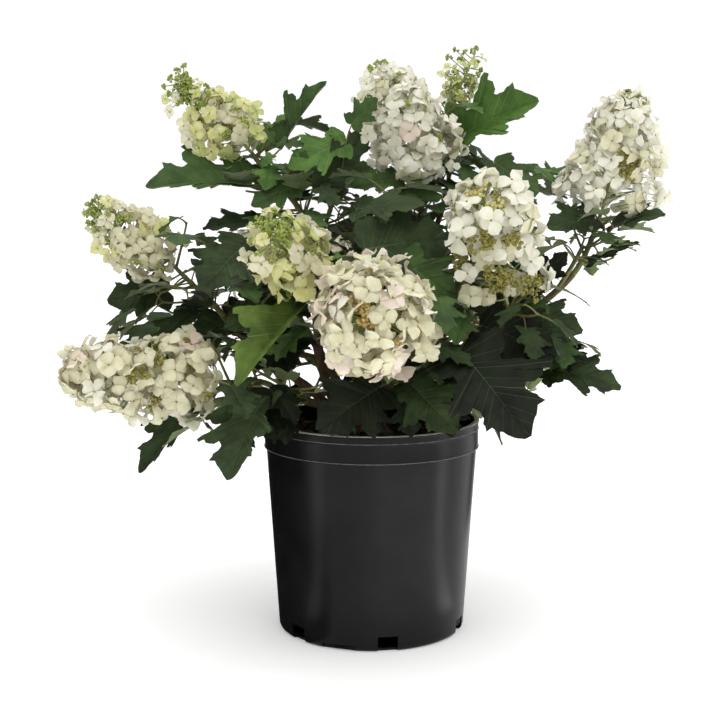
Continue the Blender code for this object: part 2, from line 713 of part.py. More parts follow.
def in_open_gap(point):
    share = -FRONT_EYE.y / (point.y - FRONT_EYE.y)
    seen = FRONT_EYE + (point - FRONT_EYE) * share
    for x, z, radius in OPEN_GAPS:
        if math.hypot(seen.x - x * MM, seen.z - z * MM) < radius * MM:
            return True
    return False


def head_radius(share, low, high):
    """Radius of a flower head at a share of its length, rounded at both ends."""
    ends = max(0.0, 1 - abs(2 * share - 1) ** 7)
    return (low + (high - low) * share) * math.sqrt(ends)


def in_flower_head(point, heads):
    for base, tip, low, high in heads:
        axis = tip - base
        share = (point - base).dot(axis) / axis.length_squared
        if 0 < share < 1:
            away = (point - base - axis * share).length
            if away < head_radius(share, low, high) * 0.93:
                return True
    return False


class Surroundings:
    """Everything placed so far, kept as search trees."""

    def __init__(self, heads):
        self.trees = []
        self.heads = heads

    def add_object(self, item):
        shape = bmesh.new()
        shape.from_mesh(evaluated_mesh(item))
        self.add_shape(shape)

    def add_shape(self, shape, stem_of=None):
        self.trees.append((tree_of(shape), stem_of))

    def free_for(self, shape, own_stem=None):
        tree = tree_of(shape)
        for other, stem_of in self.trees:
            if (stem_of is None or stem_of != own_stem) and other.overlap(tree):
                return False
        return True

    def leaf_fits(self, blade, stalk_from, shoot_name, open_air=True):
        samples = blade.samples()
        if any(inside_pot_space(point) for point in samples):
            return False
        if any(in_flower_head(point, self.heads) for point in samples):
            return False
        if open_air and any(in_open_gap(point) or outside_envelope(point) for point in samples):
            return False
        if not self.free_for(blade_bmesh(blade, extra=LEAF_CLEARANCE)):
            return False
        span = blade.base - stalk_from
        way = span.normalized()
        if span.length < STALK_SHORTEST or way.dot(blade.way) < STALK_SHARPEST:
            return False
        room = 2 * STALK_RADIUS
        stalk = rod_bmesh(stalk_from + way * STALK_ROOT, blade.base - way * MM, room, room)
        return self.free_for(stalk, shoot_name)


# ============================ shoots ============================================
class Shoot:
    """A leafy stem: its path and the leaves that it has taken so far."""

    def __init__(self, name, paths):
        limb, share, tip, self.pairs, blade = SHOOTS[name]
        self.name = name
        self.blade_length = blade * MM
        self.limb = limb
        self.from_side = share < 1
        parent = paths[limb]
        end = in_metres(tip)
        if self.from_side:
            start = parent.point(share)
            leave = (end - start).normalized() + parent.way(share) * 0.3
        else:
            leave = parent.way(1.0)
            start = parent.point(1.0) - leave * JOINT_DEPTH
        foot = min(STEM_FOOT_RADIUS, parent.radius(share) * 0.85)
        if not self.from_side:
            foot = parent.radius(1.0) * 0.96
        arrive = (end - start).normalized() + UP * 0.1
        self.path = Path(start, leave, end, arrive, foot, STEM_TIP_RADIUS)
        self.leaves = []

    def take(self, blade, share, surroundings):
        self.leaves.append((blade, share))
        surroundings.add_shape(blade_bmesh(blade, self.path.point(share)))


def place_set_leaves(shoots, surroundings):
    for name, share, base, tip, face, width in SET_LEAVES:
        shoot = shoots[name]
        start = in_metres(base)
        span = in_metres(tip) - start
        face = Vector(face)
        blade = Blade(start, span, face, span.length, width, SET_LEAF_ARCH, SET_LEAF_FOLD)
        if surroundings.leaf_fits(blade, shoot.path.point(share), name, open_air=False):
            shoot.take(blade, share, surroundings)
        else:
            print("no room for the set leaf on", name, base)


def hanging_angle(height):
    """Low leaves hang and high leaves spread: pitch of a blade at a height."""
    share = min(1.0, max(0.0, (height - HANG_LOW) / (HANG_HIGH - HANG_LOW)))
    return math.radians(HANG_LOW_PITCH + (HANG_HIGH_PITCH - HANG_LOW_PITCH) * share)


def rule_leaf(shoot, share, heading, rng, attempt):
    """One leaf by the growth rule, loosened a little more at each attempt."""
    path = shoot.path
    way = path.way(share)
    side = way.orthogonal().normalized()
    swing = rng.uniform(-LEAF_TURN_STEP, LEAF_TURN_STEP) * (2 + attempt)
    outward = Matrix.Rotation(heading + swing, 3, way) @ side
    stalk_way = (outward + way * rng.uniform(*STALK_FORWARD)).normalized()
    shrink = 1 - LEAF_SHRINK_STEP * attempt
    stalk = rng.uniform(*STALK_LENGTH) * shoot.blade_length * shrink
    node = path.point(share)
    base = node + stalk_way * stalk
    flat = Vector((stalk_way.x, stalk_way.y, 0))
    if flat.length < 0.2:
        flat = Vector((base.x, base.y, 0)) - Vector((CROWN_CENTRE.x, CROWN_CENTRE.y, 0))
    flat.normalize()
    nod = rng.uniform(-LEAF_PITCH_STEP, LEAF_PITCH_STEP) * (2 + attempt)
    pitch = hanging_angle(base.z) + nod
    blade_way = flat * math.cos(pitch) + UP * math.sin(pitch)
    roll = Matrix.Rotation(rng.uniform(-LEAF_ROLL, LEAF_ROLL), 3, blade_way)
    face = roll @ (UP + flat * 0.15)
    younger = 1.05 - 0.25 * share       # leaves are smaller towards the stem's tip
    length = shoot.blade_length * rng.uniform(*LEAF_LENGTH) * shrink * younger
    width = rng.uniform(*LEAF_WIDTH)
    bend = rng.uniform(*LEAF_ARCH)
    fold = math.radians(rng.uniform(*LEAF_FOLD))
    return Blade(base, blade_way, face, length, width, bend, fold)


def grow_rule_leaves(shoots, surroundings):
    """Opposite pairs, each turned a quarter from the last, round by round."""
    rounds = max(shoot.pairs for shoot in shoots.values())
    skipped = 0
    for pair in range(rounds):
        for name, shoot in shoots.items():
            if pair >= shoot.pairs:
                continue
            rng = random.Random("%s %d" % (name, pair))
            first = FIRST_NODE[shoot.from_side]
            share = first + (LAST_NODE - first) * (pair + 0.5 * rng.random()) / shoot.pairs
            for half in range(2):
                heading = (pair % 2) * math.pi / 2 + half * math.pi + 0.6
                for attempt in range(LEAF_TRIES):
                    blade = rule_leaf(shoot, share, heading, rng, attempt)
                    if surroundings.leaf_fits(blade, shoot.path.point(share), name):
                        shoot.take(blade, share, surroundings)
                        break
                else:
                    skipped += 1
    print("leaves skipped for want of room:", skipped)


def make_stem(shoot, clear_of, limbs, collection, cutters):
    """The shoot's stem, seated on its limb."""
    points, radii = shoot.path.samples(STEM_POINTS)
    stem = tube(shoot.name + "_stem", points, radii, collection, resolution=0)
    if shoot.limb not in clear_of:
        clear_of[shoot.limb] = inflated(limbs[shoot.limb], GAP, cutters)
    cut(stem, clear_of[shoot.limb])
    return stem


def make_shoot(shoot, stem, collection, material):
    """Fuses the stem, the stalks and the blades of one shoot into one solid."""
    pieces = []
    for index, (blade, share) in enumerate(shoot.leaves):
        leaf = blade_bmesh(blade, shoot.path.point(share))
        pieces.append(bmesh_object("%s_leaf_%d" % (shoot.name, index), leaf, collection))
    return fuse("leaves_" + shoot.name, stem, pieces, collection, material)


# ============================ flower heads ======================================
def floret_bmesh(centre, normal, spin, radius, root):
    """A floret of four creased sepals, its back drawn to a point at the root."""
    shape = bmesh.new()
    side = normal.orthogonal().normalized()
    other = normal.cross(side)
    rim = []
    for step in range(8):
        turn = spin + step * math.tau / 8
        is_tip = step % 2 == 0
        reach = radius * (1.0 if is_tip else FLORET_NOTCH)
        lift = radius * SEPAL_LIFT * is_tip
        offset = side * math.cos(turn) * reach + other * math.sin(turn) * reach + normal * lift
        rim.append(shape.verts.new(centre + offset))
    front = shape.verts.new(centre + normal * radius * 0.7 * SEPAL_LIFT)
    back = shape.verts.new(root)
    for step in range(8):
        shape.faces.new((rim[step], rim[(step + 1) % 8], front))
    for notch in range(1, 8, 2):
        after = (notch + 2) % 8
        shape.faces.new((rim[after], rim[(notch + 1) % 8], rim[notch]))
        shape.faces.new((rim[after], rim[notch], back))
    bmesh.ops.recalc_face_normals(shape, faces=shape.faces)
    return shape


def head_core_bmesh(base, tip, low, high):
    """The dense middle of a head: a turned, rounded cone round its axis."""
    axis = tip - base
    side = axis.orthogonal().normalized()
    other = axis.normalized().cross(side)
    shape = bmesh.new()
    loops = []
    for share in HEAD_RINGS:
        radius = head_radius(share, low, high) * HEAD_CORE
        ring = []
        for step in range(HEAD_SIDES):
            turn = step * math.tau / HEAD_SIDES
            offset = side * math.cos(turn) * radius + other * math.sin(turn) * radius
            ring.append(shape.verts.new(base + axis * share + offset))
        loops.append(ring)
    foot = shape.verts.new(base + axis * 0.01)
    top = shape.verts.new(base + axis * 0.95)
    for step in range(HEAD_SIDES):
        after = (step + 1) % HEAD_SIDES
        shape.faces.new((loops[0][after], loops[0][step], foot))
        shape.faces.new((loops[-1][step], loops[-1][after], top))
        for lower, upper in zip(loops, loops[1:]):
            shape.faces.new((lower[step], lower[after], upper[after], upper[step]))
    bmesh.ops.recalc_face_normals(shape, faces=shape.faces)
    return shape


def head_axis(name, shoots):
    """Base, tip and radii of a head, which starts at its shoot's tip."""
    tip, low, high = HEADS[name][:3]
    return shoots[name].path.point(1.0), in_metres(tip), low * MM, high * MM


def make_head(name, shoots, stem_clear, collection, materials):
    """Fuses a head's stalk, core, florets and buds into one solid."""
    _tip, _low, _high, florets, scale, bare, colour = HEADS[name]
    base, tip, low, high = head_axis(name, shoots)
    axis = tip - base
    rng = random.Random("head " + name)
    side = axis.orthogonal().normalized()
    other = axis.normalized().cross(side)
    radius = STEM_TIP_RADIUS * 0.9
    stalk_foot = base - shoots[name].path.way(1.0) * JOINT_DEPTH
    stalk = rod_bmesh(stalk_foot, base + axis * 0.16, radius, radius, 4)
    stalk = bmesh_object(name + "_stalk", stalk, collection)
    cut(stalk, stem_clear)
    core = bmesh_object(name + "_core", head_core_bmesh(base, tip, low, high), collection)
    pieces = [stalk]
    leafy = 1 - bare
    taken = []
    for index in range(florets):
        share = 0.07 + (leafy - 0.10) * ((index + 0.5) / florets) ** 1.05
        radius = head_radius(share, low, high)
        fall = head_radius(share - 0.04, low, high) - head_radius(share + 0.04, low, high)
        slope = min(2.5, max(-0.8, fall / (0.08 * axis.length)))
        for attempt in range(FLORET_TRIES):
            turn = index * GOLDEN_TURN + rng.uniform(-0.3, 0.3)
            radial = side * math.cos(turn) + other * math.sin(turn)
            tilt = Vector([rng.uniform(-FLORET_TILT, FLORET_TILT) for _ in range(3)])
            normal = (radial + axis.normalized() * slope + UP * 0.15 + tilt).normalized()
            size = FLORET_RADIUS * scale * rng.uniform(0.88, 1.08) * (1 - 0.03 * attempt)
            centre = base + axis * share + radial * (radius - FLORET_SINK * size)
            spin = rng.uniform(0, math.tau)
            outer_root = centre - normal * radius * (1 - HEAD_CORE)
            tree = tree_of(floret_bmesh(centre, normal, spin, size, outer_root))
            if not any(tree.overlap(other_tree) for other_tree in taken):
                taken.append(tree)
                seat = min(HEAD_RINGS[-1], max(HEAD_RINGS[0], share))
                seat_radius = head_radius(seat, low, high) * HEAD_CORE * 0.5
                root = base + axis * seat + radial * seat_radius
                floret = floret_bmesh(centre, normal, spin, size, root)
                pieces.append(bmesh_object("%s_floret_%d" % (name, index), floret, collection))
                break
    buds = round(bare * axis.length / BUD_SPACING)
    for index in range(buds):
        share = leafy - 0.08 + (bare + 0.02) * (index + 0.5) / buds
        turn = index * GOLDEN_TURN
        radial = side * math.cos(turn) + other * math.sin(turn)
        seat = base + axis * share + radial * head_radius(share, low, high) * BUD_SEAT
        size = BUD_RADIUS * rng.uniform(0.8, 1.1)
        shape = bmesh.new()
        bmesh.ops.create_uvsphere(shape, u_segments=4, v_segments=2, radius=size)
        bmesh.ops.translate(shape, vec=seat, verts=shape.verts)
        pieces.append(bmesh_object("%s_bud_%d" % (name, index), shape, collection))
    return fuse("flowers_" + name, core, pieces, collection, materials["blossom_" + colour])


# ============================ the whole plant ===================================
def main():
    clear_scene()
    parts = new_collection("oakleaf_hydrangea")
    cutters = new_collection("cutters")
    materials = make_materials()
    pot = make_pot(parts, cutters, materials["pot_plastic"])
    soil = make_soil(parts, materials["potting_mix"])
    crown = make_crown(parts, materials["old_wood"])
    paths = limb_paths()
    limbs, clear_of = make_limbs(paths, crown, parts, cutters, materials["cane_bark"])

    shoots = {name: Shoot(name, paths) for name in SHOOTS}
    surroundings = Surroundings([head_axis(name, shoots) for name in HEADS])
    for item in (pot, soil, crown, *limbs.values()):
        surroundings.add_object(item)
    for shoot in shoots.values():
        points, _radii = shoot.path.samples(STEM_POINTS)
        for start, end in zip(points, points[1:]):
            stem = rod_bmesh(start, end, STEM_FOOT_RADIUS, STEM_FOOT_RADIUS, 4)
            surroundings.add_shape(stem, shoot.name)
    stems = {}
    for name, shoot in shoots.items():
        stems[name] = make_stem(shoot, clear_of, limbs, parts, cutters)
    for name in HEADS:
        stem_clear = inflated(stems[name], GAP, cutters)
        surroundings.add_object(make_head(name, shoots, stem_clear, parts, materials))
    place_set_leaves(shoots, surroundings)
    grow_rule_leaves(shoots, surroundings)
    for name, shoot in shoots.items():
        make_shoot(shoot, stems[name], parts, materials["leaf_green"])
        print(name, len(shoot.leaves), "leaves")


main()
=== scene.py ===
# %% [markdown]
# # A flowering oak-leaved hydrangea in a black nursery pot
#
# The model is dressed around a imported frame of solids, in metres, with +Z up
# and -Y as the front.  The frame gives the pot, the soil, the woody crown, the
# canes and boughs, and one plain solid for each leafy shoot and each flower
# head.  Here they all get their real surfaces.  The leaves are grown again by
# the rule that placed the plain ones, so every fine leaf lies where its solid is.

# %% The frame of solids
import math
import random

import bmesh
import bpy
import numpy as np
from mathutils import Matrix, Vector
from mathutils.bvhtree import BVHTree


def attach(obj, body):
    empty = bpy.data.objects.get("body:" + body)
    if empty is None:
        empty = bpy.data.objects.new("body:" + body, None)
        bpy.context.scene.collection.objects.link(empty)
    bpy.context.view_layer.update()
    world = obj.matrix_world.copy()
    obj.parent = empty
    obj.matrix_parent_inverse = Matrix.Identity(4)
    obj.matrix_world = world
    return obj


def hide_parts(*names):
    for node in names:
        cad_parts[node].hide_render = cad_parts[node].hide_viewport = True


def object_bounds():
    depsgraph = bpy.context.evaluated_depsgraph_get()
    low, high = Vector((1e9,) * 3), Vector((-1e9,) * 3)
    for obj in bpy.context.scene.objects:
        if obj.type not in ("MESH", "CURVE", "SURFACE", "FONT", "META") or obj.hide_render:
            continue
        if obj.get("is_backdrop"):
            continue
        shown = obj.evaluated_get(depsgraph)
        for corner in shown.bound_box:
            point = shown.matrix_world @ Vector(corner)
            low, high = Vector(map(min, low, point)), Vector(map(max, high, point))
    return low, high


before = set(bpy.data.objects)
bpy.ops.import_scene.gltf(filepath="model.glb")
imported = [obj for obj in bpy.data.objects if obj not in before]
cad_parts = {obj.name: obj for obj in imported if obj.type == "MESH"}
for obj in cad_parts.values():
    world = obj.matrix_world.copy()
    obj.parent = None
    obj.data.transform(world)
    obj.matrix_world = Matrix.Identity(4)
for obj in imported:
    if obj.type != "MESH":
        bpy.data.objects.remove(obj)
cad_box = [list(corner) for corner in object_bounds()]
MM = 0.001
UP = Vector((0, 0, 1))
print(len(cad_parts), "nodes, box", [[round(v, 3) for v in corner] for corner in cad_box])

# %% [markdown]
# ## Camera, floor and light
#
# The plant is looked at from a little above the middle of its crown, with a
# portrait lens.  The room is white behind the plant and overhead and grey at the
# sides, so the light is soft but black plastic still shows where it curves.

# %% Camera and sky
CAMERA_PLACE = (-0.0117, -1.4053, 0.4586)
CAMERA_TILT = 0.1298        # radians below the level
LENS_MM = 69.69
# Brightness of the studio's sides and front, of its back and of its ceiling.
SKY_SIDES, SKY_BACK, SKY_TOP = 0.58, 1.05, 1.70


def linear(hex_colour):
    """An sRGB hex colour as linear red, green, blue and alpha."""
    values = [int(hex_colour[i:i + 2], 16) / 255 for i in (1, 3, 5)]
    return (*[v / 12.92 if v <= 0.04045 else ((v + 0.055) / 1.055) ** 2.4 for v in values], 1.0)


def add_node(tree, kind, settings=None, links=None):
    """Adds one node: settings fill its properties and sockets, and links feed its sockets
    from other sockets, or from the first output of other nodes."""
    node = tree.nodes.new(kind)
    for key, value in (settings or {}).items():
        if isinstance(key, str) and hasattr(node, key):
            setattr(node, key, value)
        else:
            node.inputs[key].default_value = value
    for key, source in (links or {}).items():
        if isinstance(source, bpy.types.Node):
            source = source.outputs[0]
        tree.links.new(source, node.inputs[key])
    return node


scene = bpy.context.scene
camera_data = bpy.data.cameras.new("camera")
camera_data.lens = LENS_MM
camera_data.sensor_width = 36
camera = bpy.data.objects.new("camera", camera_data)
camera.location = CAMERA_PLACE
camera.rotation_euler = (math.pi / 2 - CAMERA_TILT, 0, 0)
scene.collection.objects.link(camera)
scene.camera = camera
scene.view_settings.view_transform = "Standard"

world = bpy.data.worlds.new("white_studio")
scene.world = world
world.use_nodes = True
sky = world.node_tree
sky.nodes["Background"].inputs["Color"].default_value = linear("#ffffff")
way = add_node(sky, "ShaderNodeTexCoord")
way_parts = add_node(sky, "ShaderNodeSeparateXYZ", None, {0: way.outputs["Generated"]})
glows = []
for part, *ranges in (("Y", 0.55, 0.85, SKY_SIDES, SKY_BACK), ("Z", 0.35, 0.75, 0.0, SKY_TOP)):
    settings = {"interpolation_type": "SMOOTHSTEP", **dict(enumerate(ranges, start=1))}
    glows.append(add_node(sky, "ShaderNodeMapRange", settings, {0: way_parts.outputs[part]}))
brightness = add_node(sky, "ShaderNodeMath", {"operation": "MAXIMUM"}, dict(enumerate(glows)))
sky.links.new(brightness.outputs[0], sky.nodes["Background"].inputs["Strength"])
print("camera", LENS_MM, "mm, tilted", round(math.degrees(CAMERA_TILT), 2), "degrees down")

# %% [markdown]
# The floor is a wide, plain white sheet, lit a little from below as a light table
# is, so shadows stay pale.  One large panel above the camera and a little to its
# right lights the front.  The pot's wall mirrors what stands low around it, so
# small soft panels near the floor draw its sheen and a black card darkens its
# edges, all out of the camera's sight.

# %% Floor and panels
HALF_FLOOR = 15.0
# Low panels round the pot: (name, turn from -Y towards +X in degrees, width in m, watts).
POT_PANELS = (
    ("left_strip", -54, 0.05, 0.06), ("right_strip", 74, 0.07, 0.16), ("front_panel", 30, 0.50, 0.22),
)
CARD_POINTS = [
    (-0.30, -0.16, 0.002), (-0.30, 0.70, 0.002), (-0.30, 0.70, 0.5), (-0.30, -0.16, 0.5),
    (-0.34, -0.34, 0.002), (-0.06, -0.10, 0.002), (-0.06, 0.70, 0.002),
    (0.30, 0.20, 0.002), (0.30, 0.45, 0.002), (0.30, 0.45, 0.4), (0.30, 0.20, 0.4),
]


def plain_material(name, sockets):
    """A material of one colour, by the sockets of its shader."""
    material = bpy.data.materials.new(name)
    material.use_nodes = True
    for socket, value in sockets.items():
        material.node_tree.nodes["Principled BSDF"].inputs[socket].default_value = value
    return material


def mesh_object(name, points, faces, materials=(), face_materials=None, smooth=True, edges=(), sharp=None):
    """A plain mesh object from points and faces; edges sharper than `sharp` degrees stay creased."""
    mesh = bpy.data.meshes.new(name)
    mesh.from_pydata([tuple(point) for point in points], edges, faces)
    for material in materials:
        mesh.materials.append(material)
    if face_materials is not None:
        mesh.polygons.foreach_set("material_index", face_materials)
    mesh.polygons.foreach_set("use_smooth", [smooth] * len(mesh.polygons))
    mesh.update()
    if sharp:
        mesh.set_sharp_from_angle(angle=math.radians(sharp))
    return bpy.data.objects.new(name, mesh)


def add_panel(name, place, aim, size, watts, is_seen=True):
    """A soft panel of light at a place, turned towards a point."""
    data = bpy.data.lights.new(name, "AREA")
    data.shape = "RECTANGLE"
    data.size, data.size_y = size
    data.energy = watts
    panel = bpy.data.objects.new(name, data)
    panel.visible_camera = is_seen
    panel.location = place
    panel.rotation_euler = (Vector(aim) - Vector(place)).to_track_quat("-Z", "Y").to_euler()
    scene.collection.objects.link(panel)
    return panel


paper = plain_material("white_paper", {"Base Color": linear("#f9f9f9"), "Roughness": 0.9,
                                       "Emission Color": linear("#ffffff"), "Emission Strength": 0.14})
floor_points = [(x * HALF_FLOOR, y * HALF_FLOOR, 0) for x, y in ((-1, -1), (1, -1), (1, 1), (-1, 1))]
floor = mesh_object("studio_floor", floor_points, [(0, 1, 2, 3)], [paper], smooth=False)
scene.collection.objects.link(floor)
floor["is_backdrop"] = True
add_panel("key_panel", (0.3, -2.0, 2.5), (0, 0, 0.35), (1.6, 1.6), 7.5)
for name, turn, width, watts in POT_PANELS:
    turn = math.radians(turn)
    way = Vector((math.sin(turn), -math.cos(turn), 0))
    add_panel(name, way * 0.46 + UP * 0.07, (0, 0, 0.10), (width, 0.14), watts, False)
    low = add_panel(name + "_low", way * 0.30 + UP * 0.004, UP, (width * 0.8, 0.30), watts * 0.9, False)
    low.rotation_euler = (math.pi, 0, turn)     # it lies on the floor and looks up
felt = plain_material("black_felt", {"Base Color": linear("#060606"), "Roughness": 1.0})
card_faces = [(0, 1, 2, 3), (4, 5, 6, 1), (7, 8, 9, 10)]
card = mesh_object("black_card", CARD_POINTS, card_faces, [felt], smooth=False)
card.visible_camera = card.visible_diffuse = card.visible_shadow = False
scene.collection.objects.link(card)
card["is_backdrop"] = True

# %% [markdown]
# ## Finishes
#
# Each finish starts from what the real surface is.  `finish` makes a material
# whose colour wanders a little from place to place, as growing things do, and
# whose bump has the size of the real grain.  All patterns read Object
# coordinates in metres, so a scale of 1000 / mm gives a feature of that size.

# %% A helper for finishes
RAMP_STOPS = (0.36, 0.64)       # where the patches of a finish reach its two colours


def finish(name, colour, other, size_mm, roughness, bump_mm=0.0, bump_size_mm=1.0, stretch=(1, 1, 1),
           sockets=None):
    """A material between two colours in soft patches of a size, with a fine bump."""
    material = bpy.data.materials.new(name)
    material.use_nodes = True
    tree = material.node_tree
    shader = tree.nodes["Principled BSDF"]
    place = add_node(tree, "ShaderNodeTexCoord")
    scaled = add_node(tree, "ShaderNodeMapping", {"Scale": stretch}, {"Vector": place.outputs["Object"]})
    patches = add_node(tree, "ShaderNodeTexNoise",
                       {"Scale": 1000 / size_mm, "Detail": 3.0, "Roughness": 0.6}, {"Vector": scaled})
    ramp = add_node(tree, "ShaderNodeValToRGB", None, {"Fac": patches})
    for stop, position, hex_colour in zip(ramp.color_ramp.elements, RAMP_STOPS, (colour, other)):
        stop.position, stop.color = position, linear(hex_colour)
    tree.links.new(ramp.outputs["Color"], shader.inputs["Base Color"])
    shader.inputs["Roughness"].default_value = roughness
    if bump_mm:
        grain = add_node(tree, "ShaderNodeTexNoise", {"Scale": 1000 / bump_size_mm, "Detail": 4.0},
                         {"Vector": scaled})
        bump = add_node(tree, "ShaderNodeBump", {"Strength": 1.0, "Distance": bump_mm * MM},
                        {"Height": grain})
        tree.links.new(bump.outputs["Normal"], shader.inputs["Normal"])
    for socket, value in (sockets or {}).items():
        shader.inputs[socket].default_value = value
    return material


# %% [markdown]
# The pot is blow-moulded high-density polyethylene, black, with a satin skin that shows a broad soft
# highlight; a pale painted highlight runs along the top of its lip, and fainter painted highlights along
# the edges of its groove and band.  The potting mix is damp composted bark.  Old hydrangea wood is brown
# and peels in papery strips, while younger canes are olive to tan, and this year's shoots are green.

# %% Pot, soil and wood finishes
pot_plastic = finish("moulded_black_polyethylene", "#0f0f10", "#151516", 40, 0.30, 0.010, 2.2,
                     sockets={"IOR": 1.54, "Specular IOR Level": 0.12})
# Painted highlights: the pale finish below paints the glint of light along the top of the lip, and the grey
# one paints fainter lines of light on the edges of the groove and band.
lip_highlight_paint = finish("painted_highlight_on_lip", "#c2c2c0", "#deded9", 9, 0.5)
edge_highlight_paint = finish("painted_highlight_on_edges", "#565657", "#7c7c7c", 9, 0.5)
potting_mix = finish("damp_bark_compost", "#15100c", "#2b2018", 5, 0.92, 0.8, 2.0)
chip_dark = finish("dark_bark_chip", "#1f1610", "#3a2a1e", 4, 0.9, 0.2, 0.8)
chip_light = finish("weathered_bark_chip", "#4c3a2b", "#6b5644", 4, 0.9, 0.2, 0.8)
old_bark = finish("peeling_old_bark", "#3d2c20", "#6e5138", 5, 0.85, 0.35, 1.2, (1, 1, 0.25))
cane_bark = finish("olive_cane_bark", "#4a3d26", "#6f6038", 6, 0.72, 0.15, 1.0, (1, 1, 0.3))
shoot_green = finish("green_shoot_skin", "#56602f", "#74763f", 8, 0.6, 0.08, 0.9)
stalk_skin = finish("downy_leaf_stalk", "#5b5b2e", "#6f5f38", 9, 0.62, 0.05, 0.7)
head_stalk_skin = finish("pale_flower_stalk", "#8f9a55", "#b1b578", 8, 0.65, 0.05, 0.7)

# %% [markdown]
# A hydrangea leaf is leathery and dark above, with sunken pale veins, and felted grey-green below.  No two
# leaves share one green, so the upper side comes in several tones, and each leaf is dealt one of them; the
# darker tones also paint the shade that falls on low and inner leaves.

# %% Leaf finishes
# Tones of the upper side: (dark patches, light patches, veins).
LEAF_TONES = {
    # deep and dark are partly painted shade: low leaves are dealt them by height, and deep marks leaves
    # that sit in shadow under the flower heads.
    "deep": ("#11160d", "#1c2315", "#333d2a"),
    "dark": ("#27331d", "#39492b", "#4b5839"),
    "mid": ("#344626", "#466030", "#566e3d"),
    "fresh": ("#415f28", "#557636", "#6b8948"),
    "yellow": ("#4f6330", "#6c823f", "#7c8f52"),
}
leaf_upper, leaf_vein = {}, {}
for tone, (dark, light, vein) in LEAF_TONES.items():
    leaf_upper[tone] = finish("leathery_leaf_" + tone, dark, light, 22, 0.58, 0.20, 1.8,
                              sockets={"Specular IOR Level": 0.14})
    leaf_vein[tone] = finish("leaf_vein_" + tone, vein, vein, 20, 0.55)
leaf_under = finish("felted_leaf_underside", "#55663a", "#6b7a48", 14, 0.85, 0.1, 0.6,
                    sockets={"Sheen Weight": 0.15})

# %% [markdown]
# The show of a panicle is its sterile florets: four broad, papery sepals round a
# tiny closed flower.  They open greenish, turn cream and white, and blush with
# age.  Between them sit the small fertile buds, green at first and tan later.

# %% Blossom finishes
SEPAL_TONES = {
    "white": ("#e9e5ca", "#f3f1dd"),
    "cream": ("#d5cfa4", "#e1dcb8"),
    "greenish": ("#d0cd76", "#e3e09e"),
    "lime": ("#b3ba5c", "#cbd07f"),
    "blush": ("#e9d3bb", "#f0e0cc"),
}
# Tones of the buds, with their roughness.
BUD_TONES = {
    "green": ("#768536", "#9aa64f", 0.55), "olive": ("#77702f", "#9a9247", 0.6),
    "yellow": ("#bdb162", "#d8cf8c", 0.6), "tan": ("#a98f49", "#c7ae6c", 0.65),
}
PAPERY = {"Subsurface Weight": 0.4, "Subsurface Scale": 0.003, "Subsurface Radius": (1.0, 0.92, 0.75)}
sepal_skin = {tone: finish("papery_sepal_" + tone, dark, light, 7, 0.62, 0.05, 0.9, sockets=PAPERY)
              for tone, (dark, light) in SEPAL_TONES.items()}
bud_skin = {tone: finish(tone + "_flower_bud", dark, light, 5, roughness)
            for tone, (dark, light, roughness) in BUD_TONES.items()}
print(len(bpy.data.materials), "materials")

# %% [markdown]
# ## Finished pieces
#
# Every piece keeps its place in its mesh, rides on the one body of the part, and hides the plain solids it
# stands for.


# %% Helpers for pieces
def settle(piece, nodes):
    """Lets a finished piece ride on the body in place of the plain solids."""
    if piece.name not in scene.collection.objects:
        scene.collection.objects.link(piece)
    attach(piece, "root")
    if nodes:
        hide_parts(*nodes)
    piece.data.update()
    print(piece.name, sum(len(face.vertices) - 2 for face in piece.data.polygons), "triangles")


def run_tree(tree, source, name, values):
    """Runs a Geometry Nodes tree on an object and returns the result as a plain mesh object."""
    if source.name not in scene.collection.objects:
        scene.collection.objects.link(source)
    modifier = source.modifiers.new("grow", "NODES")
    modifier.node_group = tree
    for item in tree.interface.items_tree:
        if item.item_type == "SOCKET" and item.in_out == "INPUT" and item.name in values:
            modifier[item.identifier] = values[item.name]
    bpy.context.view_layer.update()
    graph = bpy.context.evaluated_depsgraph_get()
    mesh = bpy.data.meshes.new_from_object(source.evaluated_get(graph))
    mesh.name = name
    source.modifiers.remove(modifier)
    bpy.data.objects.remove(source, do_unlink=True)
    return bpy.data.objects.new(name, mesh)


def new_tree(name, inputs):
    """A Geometry Nodes tree with named inputs: returns it with its first and last node."""
    tree = bpy.data.node_groups.new(name, "GeometryNodeTree")
    tree.interface.new_socket("Geometry", in_out="OUTPUT", socket_type="NodeSocketGeometry")
    for label, kind in {"Geometry": "Geometry", **inputs}.items():
        tree.interface.new_socket(label, in_out="INPUT", socket_type="NodeSocket" + kind)
    return tree, tree.nodes.new("NodeGroupInput"), tree.nodes.new("NodeGroupOutput")


def finish_tree(tree, given, result, geometry):
    """Ends a tree with smooth faces, realized instances and the given material."""
    real = add_node(tree, "GeometryNodeRealizeInstances", None, {"Geometry": geometry})
    smooth = add_node(tree, "GeometryNodeSetShadeSmooth", None, {"Geometry": real})
    painted = add_node(tree, "GeometryNodeSetMaterial", None,
                       {"Geometry": smooth, "Material": given.outputs["Material"]})
    tree.links.new(painted.outputs[0], result.inputs[0])


# %% [markdown]
# ## The nursery pot
#
# A thin wall turned about the axis: a rolled lip, a fine groove, a deep band that
# stands proud of a gently tapering wall, and a rounded foot with drain notches.
# The profile goes round in many small steps so that the long highlights run
# smoothly, and the notches are cut with one Boolean.

# %% The nursery pot
POT_HEIGHT = 0.216
POT_TOP_RADIUS = 0.110      # over the rolled lip
POT_BASE_RADIUS = 0.0949
POT_WALL = 1.6 * MM
LIP_HEIGHT = 8.5 * MM       # lip down to the fine groove under it
BAND_HEIGHT = 28 * MM       # lip top down to the lower edge of the raised band
BAND_PROUD = 2.2 * MM       # how far the band stands out of the wall below it
BASE_ROUNDING = 5 * MM
NOTCH_DEPTH = 12 * MM
